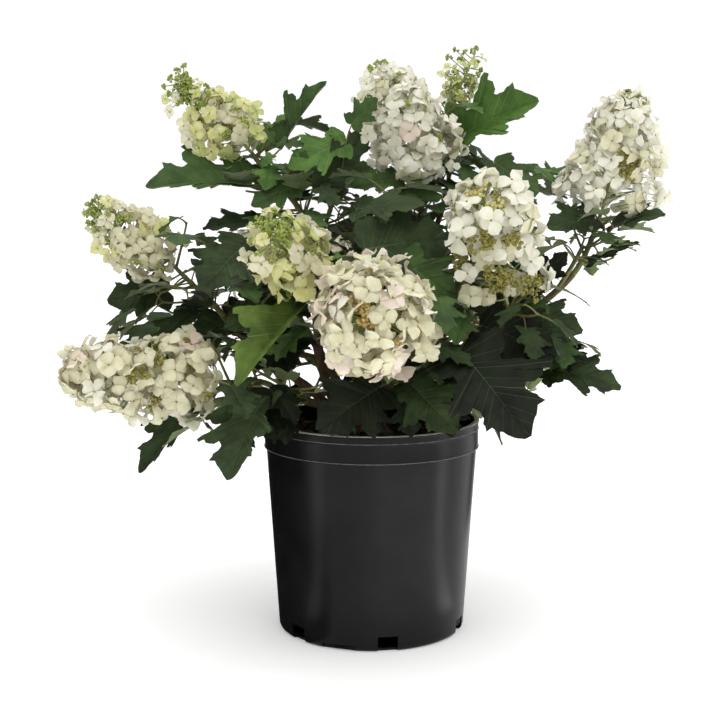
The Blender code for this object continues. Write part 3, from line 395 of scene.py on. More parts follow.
# Drain notches in the base: (how many, turn of the first from -Y towards +X in
# degrees, width, height), narrow tall ones with wide low ones between them.
NOTCHES = (
    (6, 9.4, 20 * MM, 15.5 * MM),
    (3, -20.6, 34 * MM, 5.5 * MM),
)
TURN_STEPS = 144
POT_CREASE = 38             # edges sharper than this stay creased, in degrees


def object_from(name, shape):
    """A mesh object from a bmesh shape, which is freed."""
    mesh = bpy.data.meshes.new(name)
    shape.to_mesh(mesh)
    shape.free()
    return bpy.data.objects.new(name, mesh)


def arc(centre_radius, centre_height, radius, start, stop, count):
    """Points of a rounded corner of the profile, angles in degrees."""
    angles = [math.radians(start + (stop - start) * i / (count - 1)) for i in range(count)]
    return [(centre_radius + radius * math.cos(a), centre_height + radius * math.sin(a)) for a in angles]


def wall_radius(height):
    """Outer radius of the plain tapering wall under the band."""
    share = height / (POT_HEIGHT - BAND_HEIGHT)
    top = POT_TOP_RADIUS - BAND_PROUD - 0.5 * MM
    return POT_BASE_RADIUS + (top - POT_BASE_RADIUS) * share


lip = POT_TOP_RADIUS
flat = lip - 0.9 * MM       # radius of the band's flat face
groove_height = POT_HEIGHT - LIP_HEIGHT
band_low = POT_HEIGHT - BAND_HEIGHT
corner = wall_radius(BASE_ROUNDING)
inner = corner - POT_WALL
step = wall_radius(band_low)
bead = 1.3 * MM             # radius of the roll of the lip
profile = [
    # inside, from the middle of the floor up to the lip
    (0, POT_WALL), (inner - BASE_ROUNDING, POT_WALL), (inner, POT_WALL + BASE_ROUNDING),
    (step - POT_WALL, band_low), (flat - POT_WALL, band_low + 1.6 * MM),
    (flat - POT_WALL, POT_HEIGHT - bead),
    *arc(lip - 4.2 * MM, POT_HEIGHT - bead, bead, 180, 90, 5),
    *arc(lip - bead, POT_HEIGHT - bead, bead, 90, -50, 8),
    # outside, down past the groove, the band and the wall to the foot
    *[(flat, POT_HEIGHT - down * MM) for down in (2.6, 3.0)],
    *[(flat, groove_height + up * MM) for up in (1.4, 1.0)],
    *arc(flat - 0.2 * MM, groove_height, 0.7 * MM, 60, -60, 5),
    *[(flat, groove_height - down * MM) for down in (1.0, 1.4)],
    (flat, band_low + 2.0 * MM), (flat + 0.05 * MM, band_low + 1.6 * MM),
    *arc(flat - 0.2 * MM, band_low + 0.8 * MM, 0.8 * MM, 60, -80, 6),
    (step, band_low - 0.2 * MM), (step - 0.01 * MM, band_low - 0.8 * MM),
    *[(wall_radius(height), height) for height in (band_low * 0.5, 8 * MM)],
    *arc(corner - BASE_ROUNDING, BASE_ROUNDING, BASE_ROUNDING, -8, -90, 8), (0, 0),
]
shape = bmesh.new()
verts = [shape.verts.new((radius, 0, height)) for radius, height in profile]
edges = [shape.edges.new(pair) for pair in zip(verts, verts[1:])]
bmesh.ops.spin(shape, geom=verts + edges, cent=(0, 0, 0), axis=(0, 0, 1), angle=math.tau, steps=TURN_STEPS,
               use_merge=True)
bmesh.ops.remove_doubles(shape, verts=shape.verts, dist=0.01 * MM)
bmesh.ops.recalc_face_normals(shape, faces=shape.faces)
pot = object_from("nursery_pot", shape)
pot.data.materials.append(pot_plastic)
scene.collection.objects.link(pot)
cutter_shape = bmesh.new()
for count, first, width, height in NOTCHES:
    for index in range(count):
        turn = math.radians(first) + index * math.tau / count
        made = bmesh.ops.create_cube(cutter_shape, size=1)
        size = Matrix.Diagonal((width, NOTCH_DEPTH, 2 * height, 1))
        place = Matrix.Rotation(turn, 4, "Z") @ Matrix.Translation((0, -corner, 0))
        bmesh.ops.transform(cutter_shape, matrix=place @ size, verts=made["verts"])
cutter = object_from("notches", cutter_shape)
scene.collection.objects.link(cutter)
boolean = pot.modifiers.new("notches", "BOOLEAN")
boolean.operation = "DIFFERENCE"
boolean.solver = "EXACT"
boolean.object = cutter
bpy.context.view_layer.update()
cut_mesh = bpy.data.meshes.new_from_object(pot.evaluated_get(bpy.context.evaluated_depsgraph_get()))
pot.modifiers.clear()
pot.data = cut_mesh
bpy.data.objects.remove(cutter, do_unlink=True)
cut_mesh.polygons.foreach_set("use_smooth", [True] * len(cut_mesh.polygons))
cut_mesh.set_sharp_from_angle(angle=math.radians(POT_CREASE))
for material in (lip_highlight_paint, edge_highlight_paint):
    cut_mesh.materials.append(material)
for face in cut_mesh.polygons:      # the top of the lip gets a painted highlight, the edges of groove and band a fainter painted one
    middle = face.center
    from_rim = lip - math.hypot(middle.x, middle.y)
    if from_rim < 4.5 * MM and middle.z > POT_HEIGHT - 0.75 * MM:
        face.material_index = 1
    elif from_rim < 2.4 * MM and min(abs(middle.z - groove_height - 0.6 * MM),
                                     abs(middle.z - band_low - 1.1 * MM)) < 0.3 * MM:
        face.material_index = 2
settle(pot, ["pot"])

# %% [markdown]
# ## The potting mix
#
# Composted bark: a rough, lumpy bed with flat splinters of bark lying on it.  The
# bed is a disc with waves in its height.  The chips repeat hundreds of times, so
# Geometry Nodes scatter four small splinters over the bed at random turns.

# %% The bed of potting mix
SOIL_TOP = POT_HEIGHT - 18 * MM
BED_RINGS = 26
BED_SIDES = 96
bed_radius = wall_radius(POT_HEIGHT - BAND_HEIGHT) - POT_WALL - 0.5 * MM
rng = np.random.default_rng(5)
# Waves of the bed: (way, start and height), finer and finer.
waves = [(rng.uniform(-1, 1, 2) * 900 * fineness, rng.uniform(0, 6.28), 1.3 / fineness)
         for fineness in (0.08, 0.15, 0.3, 0.45, 0.7)]


def bed_height(x, y):
    """Height of the bed: gentle swells and lumps, lower at the pot's wall."""
    lumps = sum(size * math.sin(way[0] * x + way[1] * y + phase) for way, phase, size in waves)
    edge = max(0.0, math.hypot(x, y) / bed_radius - 0.85) / 0.15
    return SOIL_TOP - 0.5 * MM + lumps * 0.35 * MM - 2.2 * MM * edge


points = [(0, 0, bed_height(0, 0))]
faces = []
for ring in range(1, BED_RINGS + 1):
    for side in range(BED_SIDES):
        reach = bed_radius * ring / BED_RINGS
        turn = side * math.tau / BED_SIDES
        x, y = reach * math.cos(turn), reach * math.sin(turn)
        points.append((x, y, bed_height(x, y)))
for side in range(BED_SIDES):
    after = (side + 1) % BED_SIDES
    faces.append((0, 1 + side, 1 + after))
    for ring in range(BED_RINGS - 1):
        low = 1 + ring * BED_SIDES
        faces.append((low + side, low + BED_SIDES + side, low + BED_SIDES + after, low + after))
rim = 1 + (BED_RINGS - 1) * BED_SIDES
skirt = len(points)
points += [(x, y, SOIL_TOP - 40 * MM) for x, y, _z in points[rim:rim + BED_SIDES]]
for side in range(BED_SIDES):
    after = (side + 1) % BED_SIDES
    faces.append((rim + side, skirt + side, skirt + after, rim + after))
faces.append(tuple(reversed(range(skirt, skirt + BED_SIDES))))
bed = mesh_object("potting_mix_bed", points, faces, [potting_mix])
settle(bed, ["soil"])

# %% A tree that sets small things on points
# What a spot says beside its place, and the type of each value.
SPOT_VALUES = {"aim": "FLOAT_VECTOR", "spin": "FLOAT", "size": "FLOAT", "kind": "INT"}
set_tree, given, result = new_tree("set_on_points", {"Things": "Collection", "Material": "Material"})
things = add_node(set_tree, "GeometryNodeCollectionInfo",
                  {"Separate Children": True, "Reset Children": True},
                  {"Collection": given.outputs["Things"]})
spot = {label: add_node(set_tree, "GeometryNodeInputNamedAttribute", {"data_type": kind, "Name": label})
        for label, kind in SPOT_VALUES.items()}
stand = add_node(set_tree, "FunctionNodeAlignRotationToVector", {"axis": "Z"}, {"Vector": spot["aim"]})
spin_axis = add_node(set_tree, "ShaderNodeCombineXYZ", None, {"Z": spot["spin"]})
spun = add_node(set_tree, "FunctionNodeEulerToRotation", None, {0: spin_axis})
turned = add_node(set_tree, "FunctionNodeRotateRotation", {"rotation_space": "LOCAL"}, {0: stand, 1: spun})
placed = add_node(set_tree, "GeometryNodeInstanceOnPoints", {"Pick Instance": True}, {
    "Points": given.outputs["Geometry"], "Instance": things, "Instance Index": spot["kind"],
    "Rotation": turned, "Scale": spot["size"]})
finish_tree(set_tree, given, result, placed)


def set_on_points(name, spots, things, material):
    """Sets shapes on spots of (place, aim, spin, size, kind), as one plain mesh."""
    source = mesh_object(name + "_spots", [spot[0] for spot in spots], [])
    for column, (label, kind) in enumerate(SPOT_VALUES.items(), start=1):
        values = source.data.attributes.new(label, kind, "POINT")
        flat = np.array([spot[column] for spot in spots]).ravel()
        values.data.foreach_set("vector" if kind == "FLOAT_VECTOR" else "value", flat)
    box = bpy.data.collections.new(name + "_things")
    for thing in things:
        box.objects.link(thing)
    piece = run_tree(set_tree, source, name, {"Things": box, "Material": material})
    for thing in things:
        bpy.data.objects.remove(thing, do_unlink=True)
    bpy.data.collections.remove(box)
    return piece


# %% Bark chips on the bed
CHIP_SIZE = (2.2, 6.5)      # range of half a chip's length, mm
CHIP_KINDS = 4


def splinter(index, rng):
    """A flat, five-sided splinter of bark, two units long."""
    outline = [(-1, -0.25, 0), (-0.7, 0.28, 0.05), (0.55, 0.33, 0), (1, -0.05, 0.04), (0.4, -0.34, 0)]
    low = [(x * rng.uniform(0.8, 1.1), y * rng.uniform(0.7, 1.4), z) for x, y, z in outline]
    top = [(x * 0.85, y * 0.7, z + 0.18) for x, y, z in low]
    sides = len(outline)
    faces = [tuple(range(sides))[::-1], tuple(range(sides, 2 * sides))]
    faces += [(i, (i + 1) % sides, sides + (i + 1) % sides, sides + i) for i in range(sides)]
    return mesh_object("splinter_%d" % index, low + top, faces, smooth=False)


for name, seed, count, material in (("dark_bark_chips", 3, 620, chip_dark),
                                    ("pale_bark_chips", 8, 210, chip_light)):
    rng = random.Random(seed)
    spots = []
    for _ in range(count):
        turn = rng.uniform(0, math.tau)
        reach = (bed_radius - 4 * MM) * math.sqrt(rng.random())
        x, y = reach * math.cos(turn), reach * math.sin(turn)
        lean = (rng.uniform(-0.5, 0.5), rng.uniform(-0.5, 0.5), 1)
        size = rng.uniform(*CHIP_SIZE) * MM
        place = (x, y, bed_height(x, y) + 0.3 * MM)
        spots.append((place, lean, rng.uniform(0, math.tau), size, rng.randrange(CHIP_KINDS)))
    piece = set_on_points(name, spots, [splinter(i, rng) for i in range(CHIP_KINDS)], material)
    settle(piece, [])

# %% [markdown]
# ## Crown, canes and boughs
#
# A hydrangea is a shrub: a short woody crown stands on the soil and canes rise
# from it.  Each limb is a smooth line with a taper.  Old bark is ridged and
# stringy lengthwise, so a tree of nodes turns each line into a tube of many
# sides and moves its surface in and out by a noise that is stretched along it.

# %% Lines of the limbs
GAP = 0.3 * MM          # clearance kept between pieces that touch
CROWN_CENTRE = Vector((-0.015, 0.0, SOIL_TOP + GAP))
CROWN_HEIGHT = 25 * MM
CROWN_FLARE_RADIUS = 36 * MM
CROWN_LOBES = 8
CROWN_LOBE_DEPTH = 2.2 * MM
# rings of the crown: (share of the flare radius, share of the height)
CROWN_RINGS = ((1.00, 0.00), (0.86, 0.22), (0.74, 0.55), (0.72, 0.80), (0.52, 1.00))
CANE_RING = 17 * MM         # distance of a cane's foot from the crown's middle
CANE_SINK = 9 * MM          # how far under the crown's top a cane's line starts
CANE_RADII = (4.9 * MM, 3.3 * MM)       # at its foot and at its tip
BOUGH_RADII = (3.5 * MM, 2.7 * MM)
JOINT_DEPTH = 2 * MM        # run of a stem inside the limb that it is then cut clear of
# name: (heading of its foot on the crown in degrees from +X, tip in mm)
CANES = {
    "cane_low_left": (228, (-98, -58, 257)),
    "cane_left": (190, (-148, -18, 322)),
    "cane_upper_left": (152, (-62, 6, 402)),
    "cane_back_left": (112, (-95, 105, 345)),
    "cane_back_right": (66, (105, 105, 350)),
    "cane_centre": (22, (46, 28, 392)),
    "cane_right": (335, (203, 0, 362)),
    "cane_front": (280, (8, -72, 298)),
}
# name: (limb it branches from, how far along that limb, tip in mm)
BOUGHS = {
    "bough_centre_left": ("cane_upper_left", 0.50, (-46, -56, 335)),
    "bough_top": ("cane_centre", 0.62, (78, 62, 440)),
    "bough_right_centre": ("cane_right", 0.42, (118, -38, 292)),
    "bough_back": ("cane_back_left", 0.55, (-25, 135, 335)),
    "bough_back_low": ("cane_back_right", 0.40, (95, 150, 285)),
    "bough_back_side": ("cane_back_left", 0.40, (-150, 85, 285)),
}


WAY_STEP = 0.01         # share of a line over which its way is measured


def hermite(start, start_pull, end, end_pull, share):
    a = 2 * share ** 3 - 3 * share ** 2 + 1
    b = share ** 3 - 2 * share ** 2 + share
    c = -2 * share ** 3 + 3 * share ** 2
    d = share ** 3 - share ** 2
    return start * a + start_pull * b + end * c + end_pull * d


class Path:
    """A smooth line with a taper that stems, stalks and leaves are placed on."""

    def __init__(self, start, start_way, end, end_way, foot_radius, tip_radius):
        span = (end - start).length
        self.ends = (start, start_way.normalized() * span, end, end_way.normalized() * span)
        self.radii = (foot_radius, tip_radius)

    def point(self, share):
        return hermite(*self.ends, share)

    def way(self, share):
        low, high = max(0.0, share - WAY_STEP), min(1.0, share + WAY_STEP)
        return (self.point(high) - self.point(low)).normalized()

    def radius(self, share):
        return self.radii[0] + (self.radii[1] - self.radii[0]) * share

    def samples(self, count):
        shares = [i / (count - 1) for i in range(count)]
        return [self.point(s) for s in shares], [self.radius(s) for s in shares]


def in_metres(millimetres):
    return Vector(millimetres) * MM


paths = {}
for name, (heading, tip) in CANES.items():
    turn = math.radians(heading)
    outward = Vector((math.cos(turn), math.sin(turn), 0))
    foot = CROWN_CENTRE + outward * CANE_RING + UP * (CROWN_HEIGHT - CANE_SINK)
    end = in_metres(tip)
    arrive = (end - foot).normalized() + UP * 0.35
    paths[name] = Path(foot, outward * 0.6 + UP * 0.8, end, arrive, *CANE_RADII)
for name, (parent, share, tip) in BOUGHS.items():
    foot = paths[parent].point(share)
    end = in_metres(tip)
    leave = (end - foot).normalized() + paths[parent].way(share) * 0.4
    arrive = (end - foot).normalized() + UP * 0.3
    paths[name] = Path(foot, leave, end, arrive, *BOUGH_RADII)
print(len(CANES), "canes and", len(BOUGHS), "boughs")

# %% A tree that turns lines into round stems with ridged bark
stems_tree, given, result = new_tree(
    "stems", {"Sides": "Int", "Ridge": "Float", "Grain": "Float", "Material": "Material"})
curves = add_node(stems_tree, "GeometryNodeMeshToCurve", None, {"Mesh": given.outputs["Geometry"]})
along = add_node(stems_tree, "GeometryNodeSplineParameter")
ring = add_node(stems_tree, "GeometryNodeCurvePrimitiveCircle", {"Radius": 1.0},
                {"Resolution": given.outputs["Sides"]})
place = add_node(stems_tree, "GeometryNodeInputPosition")
marked = {}         # the lines marked with their length so far, the ring with its own places
for label, kind, geometry, value in (("run", "FLOAT", curves, along.outputs["Length"]),
                                     ("round", "FLOAT_VECTOR", ring, place)):
    marked[label] = add_node(stems_tree, "GeometryNodeStoreNamedAttribute",
                             {"data_type": kind, "domain": "POINT", "Name": label},
                             {"Geometry": geometry, "Value": value})
read = {label: add_node(stems_tree, "GeometryNodeInputNamedAttribute", {"data_type": kind, "Name": label})
        for label, kind in (("thickness", "FLOAT"), ("run", "FLOAT"), ("round", "FLOAT_VECTOR"))}
tube = add_node(stems_tree, "GeometryNodeCurveToMesh", {"Fill Caps": True},
                {"Curve": marked["run"], "Profile Curve": marked["round"], "Scale": read["thickness"]})
parts = add_node(stems_tree, "ShaderNodeSeparateXYZ", None, {0: read["round"]})
long_run = add_node(stems_tree, "ShaderNodeMath", {"operation": "MULTIPLY"},
                    {0: read["run"], 1: given.outputs["Grain"]})
where = add_node(stems_tree, "ShaderNodeCombineXYZ", None, {0: parts, 1: parts.outputs[1], 2: long_run})
noise = add_node(stems_tree, "ShaderNodeTexNoise", {"Scale": 2.6, "Detail": 3.0}, {"Vector": where})
centred = add_node(stems_tree, "ShaderNodeMath", {"operation": "SUBTRACT", 1: 0.5}, {0: noise})
height = add_node(stems_tree, "ShaderNodeMath", {"operation": "MULTIPLY"},
                  {0: centred, 1: given.outputs["Ridge"]})
normal = add_node(stems_tree, "GeometryNodeInputNormal")
move = add_node(stems_tree, "ShaderNodeVectorMath", {"operation": "SCALE"}, {0: normal, "Scale": height})
ridged = add_node(stems_tree, "GeometryNodeSetPosition", None, {"Geometry": tube, "Offset": move})
finish_tree(stems_tree, given, result, ridged)


def stems(name, lines, sides, ridge_mm, grain, material):
    """Round stems along lines of (points, radii)."""
    points, edges, thickness = [], [], []
    for line_points, radii in lines:
        first = len(points)
        points += [tuple(point) for point in line_points]
        thickness += list(radii)
        edges += [(first + i, first + i + 1) for i in range(len(line_points) - 1)]
    source = mesh_object(name + "_lines", points, [], edges=edges)
    values = source.data.attributes.new("thickness", "FLOAT", "POINT")
    values.data.foreach_set("value", thickness)
    return run_tree(stems_tree, source, name, {
        "Sides": sides, "Ridge": ridge_mm * MM, "Grain": grain, "Material": material})


# %% Canes and boughs with bark
LIMB_STEP = 2.5 * MM
KNOT_STEP = 45 * MM         # distance between two nodes of a limb
KNOT_SWELL = 0.12           # how much thicker a limb is at a node
OLD_WOOD_SHARE = 0.45       # the lower part of a cane carries old, peeling bark


def stretch_of(path, low, high):
    """Closely spaced points and radii of a part of a path, swollen at its nodes."""
    length = (path.ends[2] - path.ends[0]).length * (high - low)
    count = max(6, round(length / LIMB_STEP))
    shares = [low + (high - low) * i / count for i in range(count + 1)]
    knots = [math.exp(-((share * length / KNOT_STEP) % 1.0 - 0.5) ** 2 / 0.004) for share in shares]
    radii = [path.radius(share) * (1 + KNOT_SWELL * knot) for share, knot in zip(shares, knots)]
    return [path.point(share) for share in shares], radii


old_lines = [stretch_of(paths[name], 0.0, OLD_WOOD_SHARE) for name in CANES]
young_lines = [stretch_of(paths[name], OLD_WOOD_SHARE - 0.02, 1.0) for name in CANES]
bough_lines = [stretch_of(paths[name], 0.0, 1.0) for name in BOUGHS]
settle(stems("old_cane_wood", old_lines, 20, 1.6, 90, old_bark), list(CANES))
settle(stems("young_cane_wood", young_lines, 16, 0.7, 60, cane_bark), [])
settle(stems("bough_wood", bough_lines, 16, 0.7, 60, cane_bark), list(BOUGHS))

# %% [markdown]
# The woody crown is the stool that the canes spring from: lobed where old stems
# have merged, flared at the soil, and furrowed like the canes.

# %% The woody crown
CROWN_SIDES, CROWN_LEVELS = 96, 22
FURROW_DEPTH = 1.4 * MM
crown_noise = np.random.default_rng(11).uniform(0, math.tau, 8)


def crown_reach(turn, rise):
    """Distance of the crown's surface from its axis at a turn and a height share."""
    spread = np.interp(rise, [ring[1] for ring in CROWN_RINGS], [ring[0] for ring in CROWN_RINGS])
    lobe = CROWN_LOBE_DEPTH * math.cos(CROWN_LOBES * turn) * (1.3 - rise)
    furrow = sum(math.sin(k * 3 * turn + crown_noise[k] + rise * 2 * k) / k for k in range(4, 8))
    return CROWN_FLARE_RADIUS * spread + lobe + furrow * FURROW_DEPTH


points, faces = [], []
for level in range(CROWN_LEVELS + 1):
    rise = level / CROWN_LEVELS
    for side in range(CROWN_SIDES):
        turn = side * math.tau / CROWN_SIDES
        reach = crown_reach(turn, rise)
        place = Vector((math.cos(turn) * reach, math.sin(turn) * reach, rise * CROWN_HEIGHT))
        points.append(CROWN_CENTRE + place)
for level in range(CROWN_LEVELS):
    for side in range(CROWN_SIDES):
        low, after = level * CROWN_SIDES, (side + 1) % CROWN_SIDES
        faces.append((low + side, low + after, low + CROWN_SIDES + after, low + CROWN_SIDES + side))
faces.append(tuple(reversed(range(CROWN_SIDES))))
faces.append(tuple(range(CROWN_LEVELS * CROWN_SIDES, (CROWN_LEVELS + 1) * CROWN_SIDES)))
crown = mesh_object("furrowed_crown", points, faces, [old_bark])
settle(crown, ["woody_crown"])

# %% [markdown]
# ## Where the leaves grow
#
# Each shoot is a short stem on a limb.  Some leaves are listed one by one because they give the plant its
# outline, and the others come in opposite pairs by a seeded rule that tries a place, tests it for room, and
# loosens its aim until it fits.
# The test shapes are plain, and the fine leaves take their places.

# %% Numbers of the growth rule
STEM_FOOT_RADIUS = 2.7 * MM
STEM_TIP_RADIUS = 1.9 * MM
STEM_POINTS = 3
STALK_RADIUS = 1.15 * MM
STALK_ROOT = 7 * MM         # length of a stalk that may touch its neighbours
STALK_SHORTEST = 9 * MM
STALK_SHARPEST = -0.5       # least cosine of the bend between a stalk and its blade
STALK_LENGTH = (0.28, 0.50)     # range, as a share of the shoot's blade length
STALK_FORWARD = (0.35, 0.75)    # how far a stalk leans along the stem
LEAF_HALF_THICKNESS = 0.011     # at the midrib, as a share of the blade's length
LEAF_LENGTH = (0.86, 1.12)      # range, as a share of the shoot's blade length
LEAF_WIDTH = (0.82, 1.00)       # range of the width factor
LEAF_ARCH = (0.35, 0.80)        # range of the arch over a blade's length, in radians
LEAF_FOLD = (5, 20)             # range of the rise of the two halves, in degrees
LEAF_ROLL = 0.35                # largest roll about the midrib, in radians
LEAF_TURN_STEP = 0.09           # loosening of a leaf's heading at each attempt
LEAF_PITCH_STEP = 0.10          # loosening of its pitch at each attempt
LEAF_SHRINK_STEP = 0.045        # loss of size at each attempt
LEAF_TRIES = 14
LEAF_CLEARANCE = 0.9 * MM
# Heights below which the leaves hang most and above which they spread almost level,
# and their pitch there in degrees.
HANG_LOW, HANG_HIGH = 0.24, 0.50
HANG_LOW_PITCH, HANG_HIGH_PITCH = -48, -4
FIRST_HEADING = 0.6             # turn of a stem's first leaf, in radians
FIRST_NODE = (0.16, 0.32)       # place of the first pair: tip shoots, side shoots
LAST_NODE = 0.94

# %% Shoots, set leaves and heads
# name: (limb, how far along it, tip in mm, pairs of leaves, blade length in mm)
SHOOTS = {
    "upper_left": ("cane_upper_left", 1.0, (-121, 18, 484), 2, 84),
    "left": ("cane_left", 1.0, (-197, -30, 375), 2, 78),
    "low_left": ("cane_low_left", 1.0, (-150, -70, 264), 3, 92),
    "centre_left": ("bough_centre_left", 1.0, (-62, -92, 372), 3, 92),
    "centre": ("cane_front", 1.0, (8, -118, 334), 3, 96),
    "top_centre": ("cane_centre", 1.0, (57, 29, 467), 4, 84),
    "top": ("bough_top", 1.0, (82, 70, 528), 3, 80),
    "right_centre": ("bough_right_centre", 1.0, (131, -60, 338), 3, 92),
    "right": ("cane_right", 1.0, (231, 0, 426), 3, 74),
    "back_left": ("cane_back_left", 1.0, (-122, 146, 362), 3, 96),
    "back": ("bough_back", 1.0, (-22, 176, 352), 3, 98),
    "back_right": ("cane_back_right", 1.0, (126, 136, 386), 3, 96),
    "back_low": ("bough_back_low", 1.0, (120, 195, 312), 3, 98),
    "back_side": ("bough_back_side", 1.0, (-205, 110, 312), 3, 98),
    "front_left_low": ("cane_low_left", 0.62, (-92, -92, 268), 3, 96),
    "mid_left": ("cane_left", 0.62, (-112, -46, 330), 3, 94),
    "front_low": ("cane_front", 0.45, (32, -100, 276), 2, 98),
    "front_right": ("bough_right_centre", 0.62, (86, -90, 308), 2, 100),
    "low_right": ("cane_right", 0.66, (176, 6, 272), 3, 82),
    "knee_right": ("cane_right", 0.90, (212, -8, 392), 2, 66),
    "upper_centre": ("cane_upper_left", 0.84, (-30, 2, 462), 2, 78),
    "middle": ("cane_centre", 0.58, (-6, -44, 408), 3, 88),
    "upper_right": ("cane_back_right", 0.86, (136, 28, 462), 3, 84),
    "back_low_left": ("cane_back_left", 0.30, (-70, 110, 262), 3, 98),
    "back_low_right": ("cane_back_right", 0.28, (35, 112, 262), 3, 98),
    "back_top": ("cane_back_right", 0.72, (25, 100, 430), 3, 92),
}
# Leaves that give the front its outline: (shoot, place along its stem, blade's
# base in mm, blade's tip in mm, way the upper face looks, width factor).
SET_LEAVES = (
    ("upper_left", 0.55, (-122, 2, 452), (-222, -28, 449), (0.1, -0.25, 1), 0.85),
    ("upper_left", 0.80, (-90, 26, 486), (-45, 30, 551), (-0.7, -0.7, 0.3), 0.62),
    ("upper_left", 0.92, (-110, 46, 488), (-84, 80, 528), (-0.5, -0.8, 0.2), 0.60),
    ("upper_centre", 0.60, (-48, -4, 447), (-4, 7, 509), (0.6, -0.8, 0.4), 0.60),
    ("upper_centre", 0.70, (-42, 56, 444), (4, 86, 467), (-0.5, -0.8, 0.4), 0.75),
    ("middle", 0.70, (-16, -46, 428), (50, -72, 434), (0.0, -0.6, 0.8), 0.72),
    ("middle", 0.45, (-50, -26, 424), (-70, -66, 404), (-0.1, -0.6, 0.8), 0.80),
    ("middle", 0.95, (-9, -76, 391), (77, -48, 400), (-0.3, -0.9, 0.35), 0.95),
    ("centre_left", 0.15, (-60, -86, 346), (-124, -150, 270), (-0.45, -0.85, 0.1), 0.74),
    ("upper_left", 0.08, (-122, -42, 396), (-162, -88, 352), (-0.1, -0.8, 0.6), 0.95),
    ("upper_left", 0.22, (-112, 2, 414), (-168, -16, 408), (0.0, -0.7, 0.75), 0.80),
    ("left", 0.75, (-206, -2, 346), (-264, -18, 336), (-0.1, -0.9, 0.45), 0.95),
    ("mid_left", 0.60, (-130, 14, 318), (-202, 12, 286), (0.0, -0.75, 0.65), 0.80),
    ("centre_left", 0.12, (-74, -36, 340), (-140, -84, 316), (0.1, -0.7, 0.7), 0.80),
    ("low_left", 0.80, (-172, -12, 232), (-232, -40, 166), (0.35, -0.8, 0.5), 0.62),
    ("front_left_low", 0.75, (-103, -112, 252), (-129, -172, 188), (-0.1, -0.9, 0.45), 0.95),
    ("front_low", 0.85, (8, -118, 266), (-50, -162, 231), (0.2, -0.8, 0.6), 0.90),
    ("front_low", 0.95, (34, -106, 268), (76, -154, 228), (-0.1, -0.8, 0.6), 0.88),
    ("front_right", 0.80, (82, -120, 299), (138, -180, 228), (0.1, -0.85, 0.5), 0.95),
    ("front_right", 0.95, (104, -70, 318), (172, -110, 292), (0.1, -0.8, 0.6), 0.90),
    ("low_right", 0.90, (182, -2, 267), (251, -20, 249), (-0.1, -0.7, 0.7), 0.70),
    ("knee_right", 0.70, (218, -12, 374), (264, -30, 396), (0.2, -0.35, 0.9), 0.65),
    ("right", 0.55, (240, -14, 404), (284, -50, 414), (0.0, -0.45, 0.9), 0.80),
    ("right", 0.60, (222, -10, 410), (170, -42, 402), (0.1, -0.7, 0.7), 0.80),
    ("right", 0.85, (204, 72, 452), (164, 62, 466), (0.1, -0.7, 0.7), 0.85),
    ("top", 0.55, (88, 50, 500), (170, 30, 537), (-0.3, -0.95, 0.2), 0.92),
    ("upper_right", 0.80, (124, 18, 474), (165, -10, 442), (0.1, -0.8, 0.6), 0.85),
    ("top_centre", 0.40, (64, 0, 445), (4, -8, 430), (-0.1, -0.6, 0.8), 0.80),
    ("right_centre", 0.10, (148, -24, 326), (208, -38, 308), (0.0, -0.8, 0.6), 0.85),
)
GOLDEN_TURN = math.pi * (3 - math.sqrt(5))      # spreads things evenly round a stem
# shoot: (tip in mm, radius low down and near the tip in mm, colour)
HEADS = {
    "upper_left": ((-194, 2, 560), 33, 15, "greenish"),
    "left": ((-278, -50, 432), 33, 17, "pale"),
    "low_left": ((-292, -118, 280), 44, 30, "cream"),
    "centre_left": ((-98, -172, 416), 37, 30, "greenish"),
    "centre": ((-8, -232, 342), 57, 42, "cream"),
    "top_centre": ((12, 8, 562), 50, 30, "white"),
    "top": ((110, 70, 592), 16, 17, "green"),
    "right_centre": ((97, -128, 458), 48, 38, "white"),
    "right": ((256, -10, 545), 56, 20, "white"),
    "back_left": ((-152, 226, 380), 44, 20, "white"),
    "back": ((-12, 268, 390), 46, 22, "white"),
    "back_right": ((160, 208, 430), 44, 20, "white"),
    "back_low": ((150, 268, 338), 44, 22, "white"),
}
print(len(SHOOTS), "shoots,", len(SET_LEAVES), "leaves set by hand,", len(HEADS), "flower heads")

# %% Open air that the leaves leave free
ENVELOPE_CENTRE = Vector((-0.01, 0.0, 0.345))
ENVELOPE_SIZE = Vector((0.315, 0.285, 0.245))
ENVELOPE_POWER = 2.4
FRONT_EYE = Vector((-0.0117, -1.405, 0.4586))   # where the front is looked at from
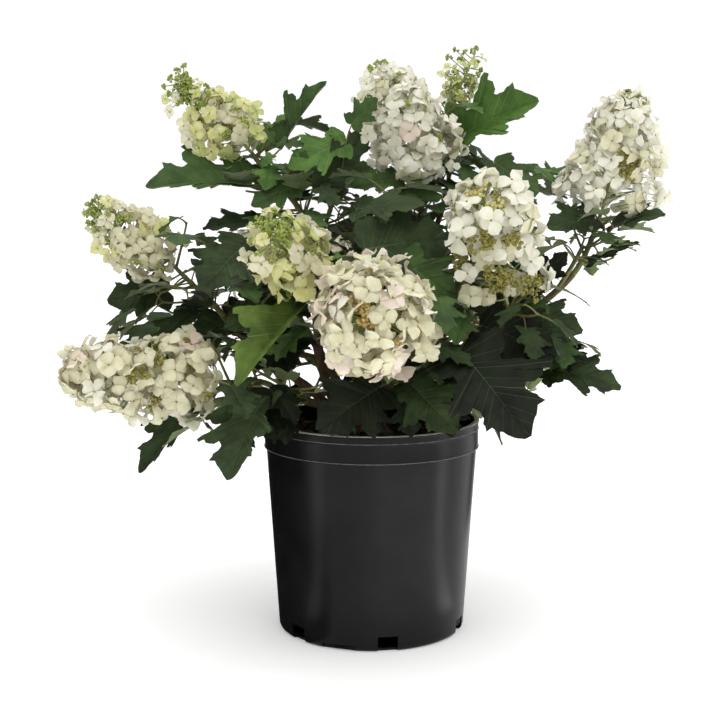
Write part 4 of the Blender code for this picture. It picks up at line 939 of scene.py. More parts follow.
# Gaps of open air that show from the front: (x mm, z mm, radius mm) at y = 0.  The
# first ones are the rule's own, the others keep the finer leaves apart too.
OPEN_GAPS = (
    (-42, 273, 15), (-68, 255, 7), (-55, 231, 6), (-142, 263, 12), (-111, 259, 7), (-40, 422, 6),
    (-72, 432, 5), (-4, 447, 10), (13, 459, 7), (-180, 354, 9), (-159, 324, 7), (81, 372, 6),
    (195, 378, 12), (-167, 425, 18), (-20, 572, 30), (202, 526, 27), (276, 336, 36), (232, 306, 18),
    (-290, 316, 20), (-289, 182, 45), (-145, 590, 34), (-111, 530, 12), (57, 605, 24), (-241, 505, 44),
    (188, 496, 14), (275, 203, 60), (208, 210, 22), (-197, 147, 22), (30, 128, 52), (-45, 128, 52),
    (100, 138, 44), (-253, 382, 14), (-315, 336, 25), (-225, 262, 8), (150, 590, 30),
)
AIR_GAPS = (
    (123, 496, 15), (140, 480, 12), (108, 506, 10), (191, 412, 13), (215, 394, 11), (255, 375, 12),
    (280, 379, 13), (225, 352, 9), (197, 328, 12), (177, 232, 14), (197, 241, 13), (220, 238, 13),
    (160, 222, 12), (-198, 180, 15), (-217, 166, 10), (-120, 163, 15), (-112, 184, 9), (-252, 354, 12),
    (-204, 334, 9), (-136, 435, 15), (-157, 415, 10), (-87, 484, 9), (-178, 306, 8), (-140, 397, 5),
    (251, 336, 14), (43, 479, 10), (2, 474, 8), (71, 538, 10), (-172, 247, 6), (-157, 486, 8),
    (173, 496, 10), (-147, 422, 8), (-176, 490, 8), (-143, 490, 7), (-222, 432, 9), (-205, 427, 8),
    (-182, 437, 10), (237, 362, 9), (285, 394, 7), (207, 358, 9), (-262, 342, 7), (-143, 338, 6),
    (-66, 273, 7), (-46, 259, 8), (-177, 283, 8), (-131, 272, 6), (176, 429, 6),
)


def seen_from_front(point):
    """Where a point shows on the plane y = 0, looked at from the front."""
    return FRONT_EYE + (point - FRONT_EYE) * (-FRONT_EYE.y / (point.y - FRONT_EYE.y))


def is_within(seen, rounds):
    """Whether a place on the plane y = 0 lies in one of some rounds (x mm, z mm, radius mm)."""
    return any(math.hypot(seen.x - x * MM, seen.z - z * MM) < radius * MM for x, z, radius in rounds)


def shows_where_bare(blade):
    """Whether a leaf would show before the pot's wall or where the air stays open."""
    for point in blade.samples():
        seen = seen_from_front(point)
        before_pot = point.y < 0 and -0.072 < seen.x < 0.104 and seen.z < 0.222
        if before_pot or is_within(seen, AIR_GAPS):
            return True
    return False


# %% The surface of a blade
# Half of an oak-like leaf: (distance along the midrib, distance from it), both
# as shares of the blade's length, round the lobes between the base and the tip.
LEAF_HALF = ((-0.04, 0.20), (0.08, 0.37), (0.27, 0.25), (0.54, 0.47), (0.58, 0.22), (0.76, 0.26))
LEAF_MIDRIB = (0.42,)
SET_LEAF_ARCH = 0.35        # arch over the length of a listed leaf
SET_LEAF_FOLD = math.radians(8)
# Where a blade is tested for room: (distance along it, half width there).
LEAF_TESTS = ((0.0, 0.2), (0.15, 0.34), (0.35, 0.34), (0.55, 0.45), (0.75, 0.25), (1.0, 0.0))


class Blade:
    """The surface of one leaf: base, lengthwise and face directions, size."""

    def __init__(self, base, way, face, length, width, bend, fold):
        self.base = base
        self.length = length
        self.width = width
        self.bend = bend
        self.fold = fold
        self.way = way.normalized()
        across = self.way.cross(face)
        if across.length < 1e-6:
            across = self.way.orthogonal()
        self.across = across.normalized()
        self.face = self.across.cross(self.way).normalized()

    def point(self, along, side, lift=0.0):
        """Point at a share of the length and a signed share of it sideways."""
        angle, start = self.bend * (along - 0.5), -0.5 * self.bend
        reach = (math.sin(angle) - math.sin(start)) / self.bend
        drop = (math.cos(angle) - math.cos(start)) / self.bend
        spread = side * self.width
        rise = drop + abs(spread) * math.sin(self.fold)
        offset = self.way * reach + self.across * (spread * math.cos(self.fold)) + self.face * rise
        return self.base + offset * self.length + self.face * lift

    def samples(self):
        """Points spread over the blade, for tests against gaps and the envelope."""
        sides = (-1.0, -0.5, 0.0, 0.5, 1.0)
        return [self.point(along, half * side) for along, half in LEAF_TESTS for side in sides]


def stalk_ring(shape, centre, way, across):
    """Three corners of a leaf stalk, square to its way: the top one, then the sides."""
    way = way.normalized()
    side = (across - way * across.dot(way)).normalized() * STALK_RADIUS
    top = side.cross(way)
    places = (top, side - top * 0.5, -side - top * 0.5)
    return [shape.verts.new(centre + place) for place in places]


def bridge(shape, edge, ribs, rib_shares):
    """Triangles between the leaf's edge and its midrib, base to tip."""
    edge_shares = [0.0] + [u for u, _v in LEAF_HALF] + [1.0]
    i = 0
    j = 0
    while i < len(edge) - 1 or j < len(ribs) - 1:
        next_edge = edge_shares[i + 1] if i < len(edge) - 1 else math.inf
        next_rib = rib_shares[j + 1] if j < len(ribs) - 1 else math.inf
        if next_edge <= next_rib:
            shape.faces.new((edge[i], edge[i + 1], ribs[j]))
            i += 1
        else:
            shape.faces.new((edge[i], ribs[j + 1], ribs[j]))
            j += 1


def blade_bmesh(blade, root=None, extra=0.0):
    """A closed leaf, thick at the midrib and sharp round its lobed edge.

    Its three-sided stalk runs back to the root, or is left off without one.
    """
    shape = bmesh.new()
    half = LEAF_HALF_THICKNESS * blade.length + extra
    stalk_way = blade.way if root is None else (blade.base - root).normalized()
    neck = stalk_ring(shape, blade.base, stalk_way + blade.way, blade.across)
    tip = shape.verts.new(blade.point(1, 0))
    upper = [neck[0]] + [shape.verts.new(blade.point(u, 0, half)) for u in LEAF_MIDRIB]
    lower = [shape.verts.new(blade.point(u, 0, -half)) for u in LEAF_MIDRIB]
    for side, corner in ((1, neck[1]), (-1, neck[2])):
        edge = [corner] + [shape.verts.new(blade.point(u, side * v)) for u, v in LEAF_HALF] + [tip]
        bridge(shape, edge, upper, (0.0,) + LEAF_MIDRIB)
        bridge(shape, edge, lower, LEAF_MIDRIB)
    shape.faces.new((neck[1], neck[2], lower[0]))
    if root is None:
        shape.faces.new(neck)
    else:
        foot = stalk_ring(shape, root, stalk_way, blade.across)
        for i in range(3):
            after = (i + 1) % 3
            shape.faces.new((foot[i], foot[after], neck[after], neck[i]))
        shape.faces.new(foot)
    bmesh.ops.recalc_face_normals(shape, faces=shape.faces)
    return shape


def rod_bmesh(start, end, start_radius, end_radius, sides=3):
    """A straight tapering rod, made as a cone and laid from start to end."""
    span = end - start
    shape = bmesh.new()
    bmesh.ops.create_cone(shape, cap_ends=True, segments=sides, radius1=start_radius,
                          radius2=end_radius, depth=span.length)
    turn = span.to_track_quat("Z", "Y").to_matrix().to_4x4()
    place = Matrix.Translation((start + end) / 2) @ turn
    bmesh.ops.transform(shape, matrix=place, verts=shape.verts)
    return shape


def tree_of(shape):
    tree = BVHTree.FromBMesh(shape)
    shape.free()
    return tree


# %% Tests for room
POT_ROOM = 4 * MM           # distance that leaves keep from the pot


def outside_envelope(point):
    offset = point - ENVELOPE_CENTRE
    total = sum(abs(offset[i] / ENVELOPE_SIZE[i]) ** ENVELOPE_POWER for i in range(3))
    return total > 1


def inside_pot_space(point):
    return math.hypot(point.x, point.y) < POT_TOP_RADIUS + POT_ROOM and point.z < POT_HEIGHT + POT_ROOM


def head_radius(share, low, high, tip_power=7):
    """Radius of a flower head at a share of its length; a lower power rounds its tip more."""
    ends = max(0.0, 1 - abs(2 * share - 1) ** (7 if share < 0.5 else tip_power))
    return (low + (high - low) * share) * math.sqrt(ends)


def in_flower_head(point, heads):
    for base, tip, low, high in heads:
        axis = tip - base
        share = (point - base).dot(axis) / axis.length_squared
        away = (point - base - axis * share).length
        if 0 < share < 1 and away < head_radius(share, low, high) * 0.93:
            return True
    return False


class Surroundings:
    """Everything placed so far, kept as search trees."""

    def __init__(self, heads):
        self.trees = []
        self.heads = heads

    def add_object(self, item):
        shape = bmesh.new()
        shape.from_mesh(item.data)
        self.add_shape(shape)

    def add_shape(self, shape, stem_of=None):
        self.trees.append((tree_of(shape), stem_of))

    def free_for(self, shape, own_stem=None):
        tree = tree_of(shape)
        for other, stem_of in self.trees:
            if (stem_of is None or stem_of != own_stem) and other.overlap(tree):
                return False
        return True

    def is_room(self, points):
        """Whether points keep clear of the pot, the heads and open air."""
        return not any(inside_pot_space(point) or in_flower_head(point, self.heads)
                       or is_within(seen_from_front(point), OPEN_GAPS) or outside_envelope(point)
                       for point in points)

    def leaf_fits(self, blade, stalk_from, shoot_name):
        """Whether a blade and its stalk from a node of the shoot have room."""
        if not self.is_room(blade.samples()):
            return False
        if not self.free_for(blade_bmesh(blade, extra=LEAF_CLEARANCE)):
            return False
        span = blade.base - stalk_from
        way = span.normalized()
        if span.length < STALK_SHORTEST or way.dot(blade.way) < STALK_SHARPEST:
            return False
        room = 2 * STALK_RADIUS
        stalk = rod_bmesh(stalk_from + way * STALK_ROOT, blade.base - way * MM, room, room)
        return self.free_for(stalk, shoot_name)


# %% Shoots and the growth rule
class Shoot:
    """A leafy stem: its path and the leaves that it has taken so far."""

    def __init__(self, name, paths):
        limb, share, tip, self.pairs, blade = SHOOTS[name]
        self.name = name
        self.blade_length = blade * MM
        self.from_side = share < 1
        parent = paths[limb]
        end = in_metres(tip)
        if self.from_side:
            start = parent.point(share)
            leave = (end - start).normalized() + parent.way(share) * 0.3
            foot = min(STEM_FOOT_RADIUS, parent.radius(share) * 0.85)
        else:
            leave = parent.way(1.0)
            start = parent.point(1.0) - leave * JOINT_DEPTH
            foot = parent.radius(1.0) * 0.96
        arrive = (end - start).normalized() + UP * 0.1
        self.path = Path(start, leave, end, arrive, foot, STEM_TIP_RADIUS)
        self.leaves = []

    def take(self, blade, share, surroundings):
        self.leaves.append((blade, share))
        surroundings.add_shape(blade_bmesh(blade, self.path.point(share)))


def place_set_leaves(rows, shoots, surroundings):
    """Leaves listed one by one, from rows of SET_LEAVES."""
    for name, share, base, tip, face, width in rows:
        start = in_metres(base)
        span = in_metres(tip) - start
        blade = Blade(start, span, Vector(face), span.length, width, SET_LEAF_ARCH, SET_LEAF_FOLD)
        shoots[name].take(blade, share, surroundings)


def hanging_angle(height):
    """Low leaves hang and high leaves spread: pitch of a blade at a height."""
    share = min(1.0, max(0.0, (height - HANG_LOW) / (HANG_HIGH - HANG_LOW)))
    return math.radians(HANG_LOW_PITCH + (HANG_HIGH_PITCH - HANG_LOW_PITCH) * share)


def rule_leaf(shoot, share, heading, rng, attempt):
    """One leaf by the growth rule, loosened a little more at each attempt."""
    path = shoot.path
    way = path.way(share)
    side = way.orthogonal().normalized()
    swing = rng.uniform(-LEAF_TURN_STEP, LEAF_TURN_STEP) * (2 + attempt)
    outward = Matrix.Rotation(heading + swing, 3, way) @ side
    stalk_way = (outward + way * rng.uniform(*STALK_FORWARD)).normalized()
    shrink = 1 - LEAF_SHRINK_STEP * attempt
    stalk = rng.uniform(*STALK_LENGTH) * shoot.blade_length * shrink
    node = path.point(share)
    base = node + stalk_way * stalk
    flat = Vector((stalk_way.x, stalk_way.y, 0))
    if flat.length < 0.2:       # a stalk that stands up turns its blade away from the crown
        flat = Vector((base.x, base.y, 0)) - Vector((CROWN_CENTRE.x, CROWN_CENTRE.y, 0))
    flat.normalize()
    nod = rng.uniform(-LEAF_PITCH_STEP, LEAF_PITCH_STEP) * (2 + attempt)
    pitch = hanging_angle(base.z) + nod
    blade_way = flat * math.cos(pitch) + UP * math.sin(pitch)
    roll = Matrix.Rotation(rng.uniform(-LEAF_ROLL, LEAF_ROLL), 3, blade_way)
    face = roll @ (UP + flat * 0.15)
    younger = 1.05 - 0.25 * share       # leaves are smaller towards the stem's tip
    length = shoot.blade_length * rng.uniform(*LEAF_LENGTH) * shrink * younger
    width = rng.uniform(*LEAF_WIDTH)
    bend = rng.uniform(*LEAF_ARCH)
    fold = math.radians(rng.uniform(*LEAF_FOLD))
    return Blade(base, blade_way, face, length, width, bend, fold)


def grow_pair(shoot, pair, share, rng, surroundings):
    """Grows an opposite pair, turned a quarter from the last; returns how many leaves had no room."""
    skipped = 0
    for half in range(2):
        heading = (pair % 2) * math.pi / 2 + half * math.pi + FIRST_HEADING
        for attempt in range(LEAF_TRIES):
            blade = rule_leaf(shoot, share, heading, rng, attempt)
            node = shoot.path.point(share)
            if not shows_where_bare(blade) and surroundings.leaf_fits(blade, node, shoot.name):
                shoot.take(blade, share, surroundings)
                break
        else:
            skipped += 1
    return skipped


def grow_rule_leaves(shoots, surroundings):
    """The pairs of all shoots, round by round."""
    skipped = 0
    for pair in range(max(shoot.pairs for shoot in shoots.values())):
        for name, shoot in shoots.items():
            if pair < shoot.pairs:
                rng = random.Random("%s %d" % (name, pair))
                first = FIRST_NODE[shoot.from_side]
                share = first + (LAST_NODE - first) * (pair + 0.5 * rng.random()) / shoot.pairs
                skipped += grow_pair(shoot, pair, share, rng, surroundings)
    print("leaves skipped for want of room:", skipped)


def head_axis(name, shoots):
    """Base, tip and radii of a head, which starts at its shoot's tip."""
    tip, low, high, _colour = HEADS[name]
    return shoots[name].path.point(1.0), in_metres(tip), low * MM, high * MM


# %% Growing the shoots
shoots = {name: Shoot(name, paths) for name in SHOOTS}
surroundings = Surroundings([head_axis(name, shoots) for name in HEADS])
for name in ["pot", "soil", "woody_crown", *paths]:
    surroundings.add_object(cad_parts[name])
for shoot in shoots.values():
    places, _radii = shoot.path.samples(STEM_POINTS)
    for start, end in zip(places, places[1:]):
        surroundings.add_shape(rod_bmesh(start, end, STEM_FOOT_RADIUS, STEM_FOOT_RADIUS, 4), shoot.name)
for name in HEADS:
    surroundings.add_object(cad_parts["flowers_" + name])
place_set_leaves(SET_LEAVES, shoots, surroundings)
grow_rule_leaves(shoots, surroundings)
print(sum(len(shoot.leaves) for shoot in shoots.values()), "leaves by the source's rule")
# More listed leaves in gaps of the rule, in the columns of SET_LEAVES.
MORE_LEAVES = (
    ("front_low", 0.55, (-19, -98, 246), (-40, -108, 217), (0.1, -0.8, 0.6), 0.95),
    ("front_low", 0.45, (0, -98, 250), (0, -108, 215), (0.0, -0.8, 0.6), 0.95),
    ("front_low", 0.45, (31, -95, 251), (37, -108, 216), (0.0, -0.8, 0.6), 1.00),
    ("front_right", 0.45, (72, -90, 248), (75, -105, 215), (0.0, -0.85, 0.5), 1.00),
    ("upper_centre", 0.95, (-20, -20, 511), (5, -30, 536), (0.2, -0.9, 0.3), 0.80),
    ("upper_centre", 0.80, (-27, 0, 494), (-83, -10, 468), (-0.1, -0.75, 0.6), 0.90),
    ("upper_left", 0.95, (-98, 10, 497), (-119, 0, 508), (0.0, -0.7, 0.7), 0.85),
    ("upper_left", 0.95, (-92, 10, 494), (-66, 0, 490), (0.0, -0.6, 0.8), 0.85),
    ("upper_left", 0.88, (-100, 0, 482), (-109, -10, 469), (0.0, -0.8, 0.6), 0.85),
    ("upper_left", 0.75, (-74, 0, 465), (-65, -10, 486), (0.0, -0.9, 0.4), 0.75),
    ("upper_left", 0.22, (-77, -10, 450), (-118, -30, 431), (-0.1, -0.8, 0.6), 0.85),
    ("middle", 0.60, (-51, -20, 450), (-33, -40, 432), (0.0, -0.8, 0.6), 0.85),
    ("top_centre", 0.20, (28, 10, 457), (-22, -10, 450), (0.0, -0.7, 0.7), 0.75),
    ("right_centre", 0.30, (167, -30, 356), (191, -40, 387), (0.0, -0.85, 0.5), 0.75),
    ("middle", 0.90, (28, -75, 381), (79, -90, 345), (-0.2, -0.9, 0.4), 0.85),
)
place_set_leaves(MORE_LEAVES, shoots, surroundings)
print({name: len(shoot.leaves) for name, shoot in shoots.items()})

# %% [markdown]
# ## Finer twigs
#
# In the angles of the leaves a living shoot carries finer twigs with smaller
# leaves.  They follow the same rule at a smaller size, inside the same room,
# and leave the same gaps open.

# %% Finer twigs
TWIGS_PER_SHOOT = 6
TWIG_LENGTH = (0.30, 0.62)      # range, as a share of the shoot's blade length
TWIG_LEAF = (0.50, 0.72)        # range of its leaves' size, likewise
TWIG_RADII = (1.5 * MM, 1.0 * MM)
TWIG_ROOM = 2 * MM              # clear radius round a twig
TWIG_NODES = (0.55, 0.97)
TWIG_TRIES = 8


class Twig(Shoot):
    """A finer stem in the angle of a leaf, with smaller leaves of the same kind."""

    def __init__(self, name, parent, share, heading, rng):
        way = parent.path.way(share)
        outward = Matrix.Rotation(heading, 3, way) @ way.orthogonal().normalized()
        start = parent.path.point(share)
        leave = (outward + way * rng.uniform(0.3, 1.0)).normalized()
        end = start + leave * parent.blade_length * rng.uniform(*TWIG_LENGTH)
        self.name = name
        self.path = Path(start, leave, end, leave + UP * 0.3, *TWIG_RADII)
        self.blade_length = parent.blade_length * rng.uniform(*TWIG_LEAF)
        self.leaves = []

    def has_room(self, surroundings, parent):
        start, tip = self.path.point(0.0), self.path.point(1.0)
        way = (tip - start).normalized()
        rod = rod_bmesh(start + way * STALK_ROOT, tip, TWIG_ROOM, TWIG_ROOM)
        return surroundings.is_room([tip]) and surroundings.free_for(rod, parent.name)

    def grow(self, surroundings, rng):
        """Adds its stem and the leaves that find room; keeps nothing if none does."""
        stem = rod_bmesh(self.path.point(0.0), self.path.point(1.0), *TWIG_RADII, 4)
        surroundings.add_shape(stem, self.name)
        for pair, share in enumerate(TWIG_NODES):
            grow_pair(self, pair, share, rng, surroundings)
        if not self.leaves:
            surroundings.trees.pop()
        return bool(self.leaves)


twigs = []
for name, shoot in shoots.items():
    rng = random.Random("twigs of " + name)
    for index in range(TWIGS_PER_SHOOT):
        share = 0.15 + 0.80 * (index + rng.random()) / TWIGS_PER_SHOOT
        for attempt in range(TWIG_TRIES):
            heading = index * GOLDEN_TURN + rng.uniform(-0.4, 0.4) * (1 + attempt)
            twig = Twig("%s_twig_%d" % (name, index), shoot, share, heading, rng)
            if twig.has_room(surroundings, shoot) and twig.grow(surroundings, rng):
                twigs.append(twig)
                break
print(len(twigs), "twigs with", sum(len(twig.leaves) for twig in twigs), "smaller leaves")

# %% [markdown]
# ## One fine leaf
#
# An oak-like leaf has five pointed lobes, a toothed edge, and a midrib with side
# veins that run out to the lobes.  The skin bulges up between the veins.  It is
# made once as a sheet of spokes: each spoke runs from the midrib to a point of
# the edge, and the spokes beside a vein lie close together to draw it.

# %% The outline and the veins
# Half of the outline: (along the midrib, away from it), as shares of the length.
LEAF_EDGE = (
    (0, 0.012), (-0.055, 0.07), (-0.07, 0.16), (-0.04, 0.27), (0.05, 0.415), (0.14, 0.35), (0.22, 0.275),
    (0.275, 0.235), (0.33, 0.29), (0.43, 0.395), (0.57, 0.53), (0.59, 0.42), (0.585, 0.31), (0.6, 0.215),
    (0.67, 0.24), (0.8, 0.3), (0.83, 0.2), (0.885, 0.125), (0.95, 0.06), (1, 0),
)
# Side veins: (where they leave the midrib, the place on the outline they run to).
LEAF_VEINS = (
    (0.008, 2.2), (0.02, 4.0), (0.09, 5.5), (0.16, 8.3), (0.22, 10.0), (0.34, 11.5),
    (0.44, 13.6), (0.51, 15.0), (0.64, 16.4), (0.76, 17.5), (0.88, 18.4),
)
# Fineness of a leaf: (half the distance between two teeth, side veins it shows).
FINE_LEAF = (0.045, range(11))
SMALL_LEAF = (0.075, (1, 4, 7))
TOOTH_HEIGHT = 0.017
TOOTH_LEAN = 0.014
MIDRIB_WIDTH = 0.0055
MIDRIB_SUNK = 0.0015
MIDRIB_END = 0.985
VEIN_WIDTHS = (0.0024, 0.0007)  # half widths at the midrib and at the edge
LEAF_THICKNESS = 0.0045
QUILT = 0.011               # how far the skin bulges between veins


def on_outline(knot):
    """Point of the smooth outline at a knot number with a fraction."""
    index = min(int(knot), len(LEAF_EDGE) - 2)
    share = knot - index
    near = [LEAF_EDGE[min(max(index + k, 0), len(LEAF_EDGE) - 1)] for k in (-1, 0, 1, 2)]
    a, b, c, d = [np.array(point) for point in near]
    return 0.5 * (2 * b + (c - a) * share + (2 * a - 5 * b + 4 * c - d) * share ** 2
                  + (3 * b - a - 3 * c + d) * share ** 3)


fine_knots = np.linspace(0, len(LEAF_EDGE) - 1, 1200)
fine_points = np.array([on_outline(knot) for knot in fine_knots])
fine_run = np.concatenate([[0], np.cumsum(np.linalg.norm(np.diff(fine_points, axis=0), axis=1))])
edge_length = fine_run[-1]
print("half outline", round(edge_length, 2), "lengths,", round(edge_length / FINE_LEAF[0] / 2), "teeth")


# %% The spokes of a leaf
def leaf_columns(rng, tooth_step, veins):
    """Spokes base to tip: (edge point, midrib share, number of the vein it is near, side of a vein)."""
    columns = []        # (place along the outline, side of a vein, whether a tooth ends there)
    vein_runs = [float(np.interp(knot, fine_knots, fine_run)) for _share, knot in veins]
    steps = round(edge_length / tooth_step)
    for step in range(steps + 1):
        run = edge_length * step / steps
        if all(abs(run - vein) > 0.55 * tooth_step for vein in vein_runs):
            columns.append((run, 0, step % 2))
    for vein in vein_runs:
        columns += [(vein, -1, 1), (vein, 1, 1)]
    found = []
    for run, side, is_tooth in sorted(columns, key=lambda item: (item[0], item[1])):
        before, point, after = [np.array([np.interp(place, fine_run, fine_points[:, i]) for i in (0, 1)])
                                for place in (run - 0.01, run, run + 0.01)]
        along = (after - before) / max(1e-9, np.linalg.norm(after - before))
        outward = np.array([-along[1], along[0]])
        if 0 < run < edge_length:
            tooth = outward * (TOOTH_HEIGHT * rng.uniform(0.7, 1.3)) + np.array([TOOTH_LEAN, 0])
            point = point + tooth * (1 if is_tooth else -0.4)
        point = point + along * side * VEIN_WIDTHS[1]
        runs = [0] + vein_runs + [edge_length]
        share = float(np.interp(run, runs, [0] + [vein[0] for vein in veins] + [MIDRIB_END]))
        near = float(np.interp(run, runs, range(len(veins) + 2)))
        found.append((point, share + side * VEIN_WIDTHS[0] * (1 - 0.5 * share), near, side))
    return found


def leaf_template(seed, fineness):
    """Flat leaf of unit length: u, v and height of its points, its faces and their kinds."""
    rng = random.Random(seed)
    tooth_step, shown = fineness
    halves = {side: leaf_columns(rng, tooth_step, [LEAF_VEINS[i] for i in shown]) for side in (1, -1)}
    last = len(halves[1]) - 1
    phases = {side: rng.uniform(0, math.tau) for side in (1, -1)}
    waves = rng.uniform(4.0, 6.0)
    ruffle = rng.uniform(0.008, 0.018)
    points, index_of, faces, kinds = [], {}, [], []
    rows = {"top": (0, "rib", 0.52, 1), "under": (0, 0.52, 1)}

    def corner(side, column, row, layer):
        if column == last or row == 0:
            side = 1
        if row == len(rows[layer]) - 1:
            layer, row = "top", len(rows["top"]) - 1
        key = (side, column, row, layer)
        if key not in index_of:
            edge, share, near, beside_vein = halves[side][column]
            middle = np.array([share, 0.0])
            reach = np.linalg.norm(edge - middle)
            place = rows[layer][row]
            if place == "rib":
                place = min(0.3, MIDRIB_WIDTH * (1 - 0.75 * share) / reach)
            flat = middle + (edge - middle) * place
            swell = math.sin(math.pi * (near % 1.0)) if not beside_vein else 0.0
            lift = QUILT * swell * 4 * place * (1 - place) * min(1.0, reach / 0.3)
            wave = waves * near / (len(shown) + 1) * math.tau + phases[side]
            lift += ruffle * place ** 2 * math.sin(wave)
            if layer == "under":
                lift -= LEAF_THICKNESS * (1.8 if row == 0 or beside_vein else 1.0)
            elif row == 0:
                lift -= MIDRIB_SUNK
            index_of[key] = len(points)
            points.append((flat[0], flat[1] * side, lift))
        return index_of[key]

    for side in (1, -1):
        columns = halves[side]
        for layer in ("top", "under"):
            for column in range(last):
                is_vein = columns[column][3] == -1 and columns[column + 1][3] == 1
                for row in range(len(rows[layer]) - 1):
                    face = [corner(side, column, row, layer), corner(side, column + 1, row, layer),
                            corner(side, column + 1, row + 1, layer), corner(side, column, row + 1, layer)]
                    if (side == 1) == (layer == "top"):
                        face[1], face[3] = face[3], face[1]
                    faces.append(tuple(face))
                    kinds.append(2 if layer == "under" else (1 if is_vein or row == 0 else 0))
    top = [corner(1, 0, row, "top") for row in range(len(rows["top"]) - 1, -1, -1)]
    top += [corner(-1, 0, row, "top") for row in range(1, len(rows["top"]))]
    under = [corner(-1, 0, row, "under") for row in range(len(rows["under"]) - 2, -1, -1)]
    under += [corner(1, 0, row, "under") for row in range(1, len(rows["under"]) - 1)]
    faces.append(tuple(top + under))
    kinds.append(1)
    return np.array(points), faces, kinds


fine_leaves = [leaf_template(seed, FINE_LEAF) for seed in (1, 2, 3, 4)]
small_leaves = [leaf_template(seed, SMALL_LEAF) for seed in (5, 6, 7, 8)]
for kind_name, kinds in (("large", fine_leaves), ("small", small_leaves)):
    print("a", kind_name, "leaf has", sum(len(face) - 2 for face in kinds[0][1]), "triangles")

# %% [markdown]
# ## The foliage
#
# Every leaf that the rule placed gets a copy of the fine leaf, bent, folded and sized as its plain blade
# is.  The copies of a side of the plant are joined from arrays into one piece, and each leaf is dealt one
# of the greens: the deep ones low down and inside, as painted shade, the fresh ones at the tips, where the
# leaves are young.

# %% The foliage
FOLIAGE = {
    "foliage_left": ("upper_left", "left", "low_left", "mid_left", "front_left_low", "upper_centre"),
    "foliage_front": ("centre_left", "centre", "front_low", "front_right", "middle", "right_centre"),
    "foliage_right": ("top_centre", "top", "right", "low_right", "knee_right", "upper_right"),
    "foliage_back": ("back_left", "back", "back_right", "back_low", "back_side", "back_low_left",
                     "back_low_right", "back_top"),
}
EDGE_CURL = (-0.30, 0.25)       # range of the curl of the two halves, down or up


def bent_leaf(blade, points, curl):
    """Points of a fine leaf laid on a blade."""
    along, side, lift = points[:, 0], points[:, 1], points[:, 2]
    angle, start = blade.bend * (along - 0.5), -0.5 * blade.bend
    reach = (np.sin(angle) - math.sin(start)) / blade.bend
    drop = (np.cos(angle) - math.cos(start)) / blade.bend
    spread = side * blade.width
    away = np.sqrt(spread ** 2 + 0.0008) - 0.028
    rise = drop + away * math.sin(blade.fold) + lift + curl * spread ** 2
    place = np.outer(reach, blade.way) + np.outer(spread * math.cos(blade.fold), blade.across)
    return np.array(blade.base) + (place + np.outer(rise, blade.face)) * blade.length


# Listed leaves that are folded along the midrib, dealt a given green, turned or raised: (shoot, its number
# on it, fold in degrees, tone, way it looks, rise in mm).
POSED_LEAVES = (
    ("upper_left", 0, 31, "mid", (0.1, -0.51, 0.86), 0),
    ("upper_left", 1, 45, "mid", (-0.7, -0.7, 0.1), 5),
    ("upper_left", 4, 20, "dark", (0, -0.5, 0.85), 0),
    ("centre_left", 0, 52, "yellow", (-0.45, -0.85, 0.1), 0),
    ("low_left", 0, 35, "dark", (-0.6, -0.75, 0.3), 0),
    ("front_left_low", 0, 20, "dark", (-0.6, -0.75, 0.3), 0),
    # the deep tone of these two front_right leaves paints the shade they sit in under the flower heads
    ("front_right", 0, 10, "deep", (0.1, -0.85, 0.5), 0),
    ("front_right", 1, 10, "deep", (0.1, -0.8, 0.6), 0),
    ("low_right", 0, 12, "dark", (-0.1, -0.7, 0.7), 0),
    ("middle", 2, 6, "dark", (-0.3, -0.9, 0.35), 0),
    ("top", 0, 36, "fresh", (-0.2, -0.88, 0.47), 0),
    ("right", 0, 10, "dark", (0, -0.55, 0.8), 9),
    ("right", 1, 10, "dark", (0.1, -0.7, 0.7), 8),
)
posed_tones = {}
for name, number, fold, tone, face, rise in POSED_LEAVES:
    blade = shoots[name].leaves[number][0]
    blade.base = blade.base + UP * rise * MM
    blade.fold = math.radians(fold)
    blade.across = blade.way.cross(Vector(face)).normalized()
    blade.face = blade.across.cross(blade.way)
    posed_tones[blade] = tone


def deal_tone(rng, blade, share, is_twig):
    """A green for one leaf: darker the lower it sits, which paints the shade low in the plant, and fresher
    at the tips and on twigs, where the leaves are young.
    """
    height = (blade.base.z - 0.22) / 0.30
    # the height term paints shade; the tip and twig terms give the fresh green of young leaves
    fresh = 0.72 * height - 0.04 + 0.06 * (share > 0.8) + 0.04 * is_twig + rng.gauss(0, 0.17)
    for limit, tone in ((0.12, "deep"), (0.40, "dark"), (0.70, "mid"), (0.98, "fresh")):
        if fresh < limit:
            return tone
    return "yellow"


def make_foliage(name, growths):
    """Joins the fine leaves of some shoots and twigs into one piece."""
    rng = random.Random(name)
    tones = list(LEAF_TONES)
    materials = [leaf_upper[tone] for tone in tones] + [leaf_vein[tone] for tone in tones] + [leaf_under]
    points, faces, slots = [], [], []
    first = 0
    for growth in growths:
        for blade, share in growth.leaves:
            flat, leaf_faces, kinds = rng.choice(small_leaves if isinstance(growth, Twig) else fine_leaves)
            points.append(bent_leaf(blade, flat, rng.uniform(*EDGE_CURL)))
            dealt = deal_tone(rng, blade, share, isinstance(growth, Twig))
            tone = tones.index(posed_tones.get(blade) or dealt)
            slot_of = (tone, len(tones) + tone, 2 * len(tones))
            faces += [tuple(first + corner for corner in face) for face in leaf_faces]
            slots += [slot_of[kind] for kind in kinds]
            first += len(flat)
    piece = mesh_object(name, np.concatenate(points).tolist(), faces, materials, slots, sharp=60)
    settle(piece, ["leaves_" + shoot for shoot in FOLIAGE[name]])


for name, members in FOLIAGE.items():
    growths = [shoots[member] for member in members]
    growths += [twig for twig in twigs if twig.name.split("_twig")[0] in members]
    make_foliage(name, growths)

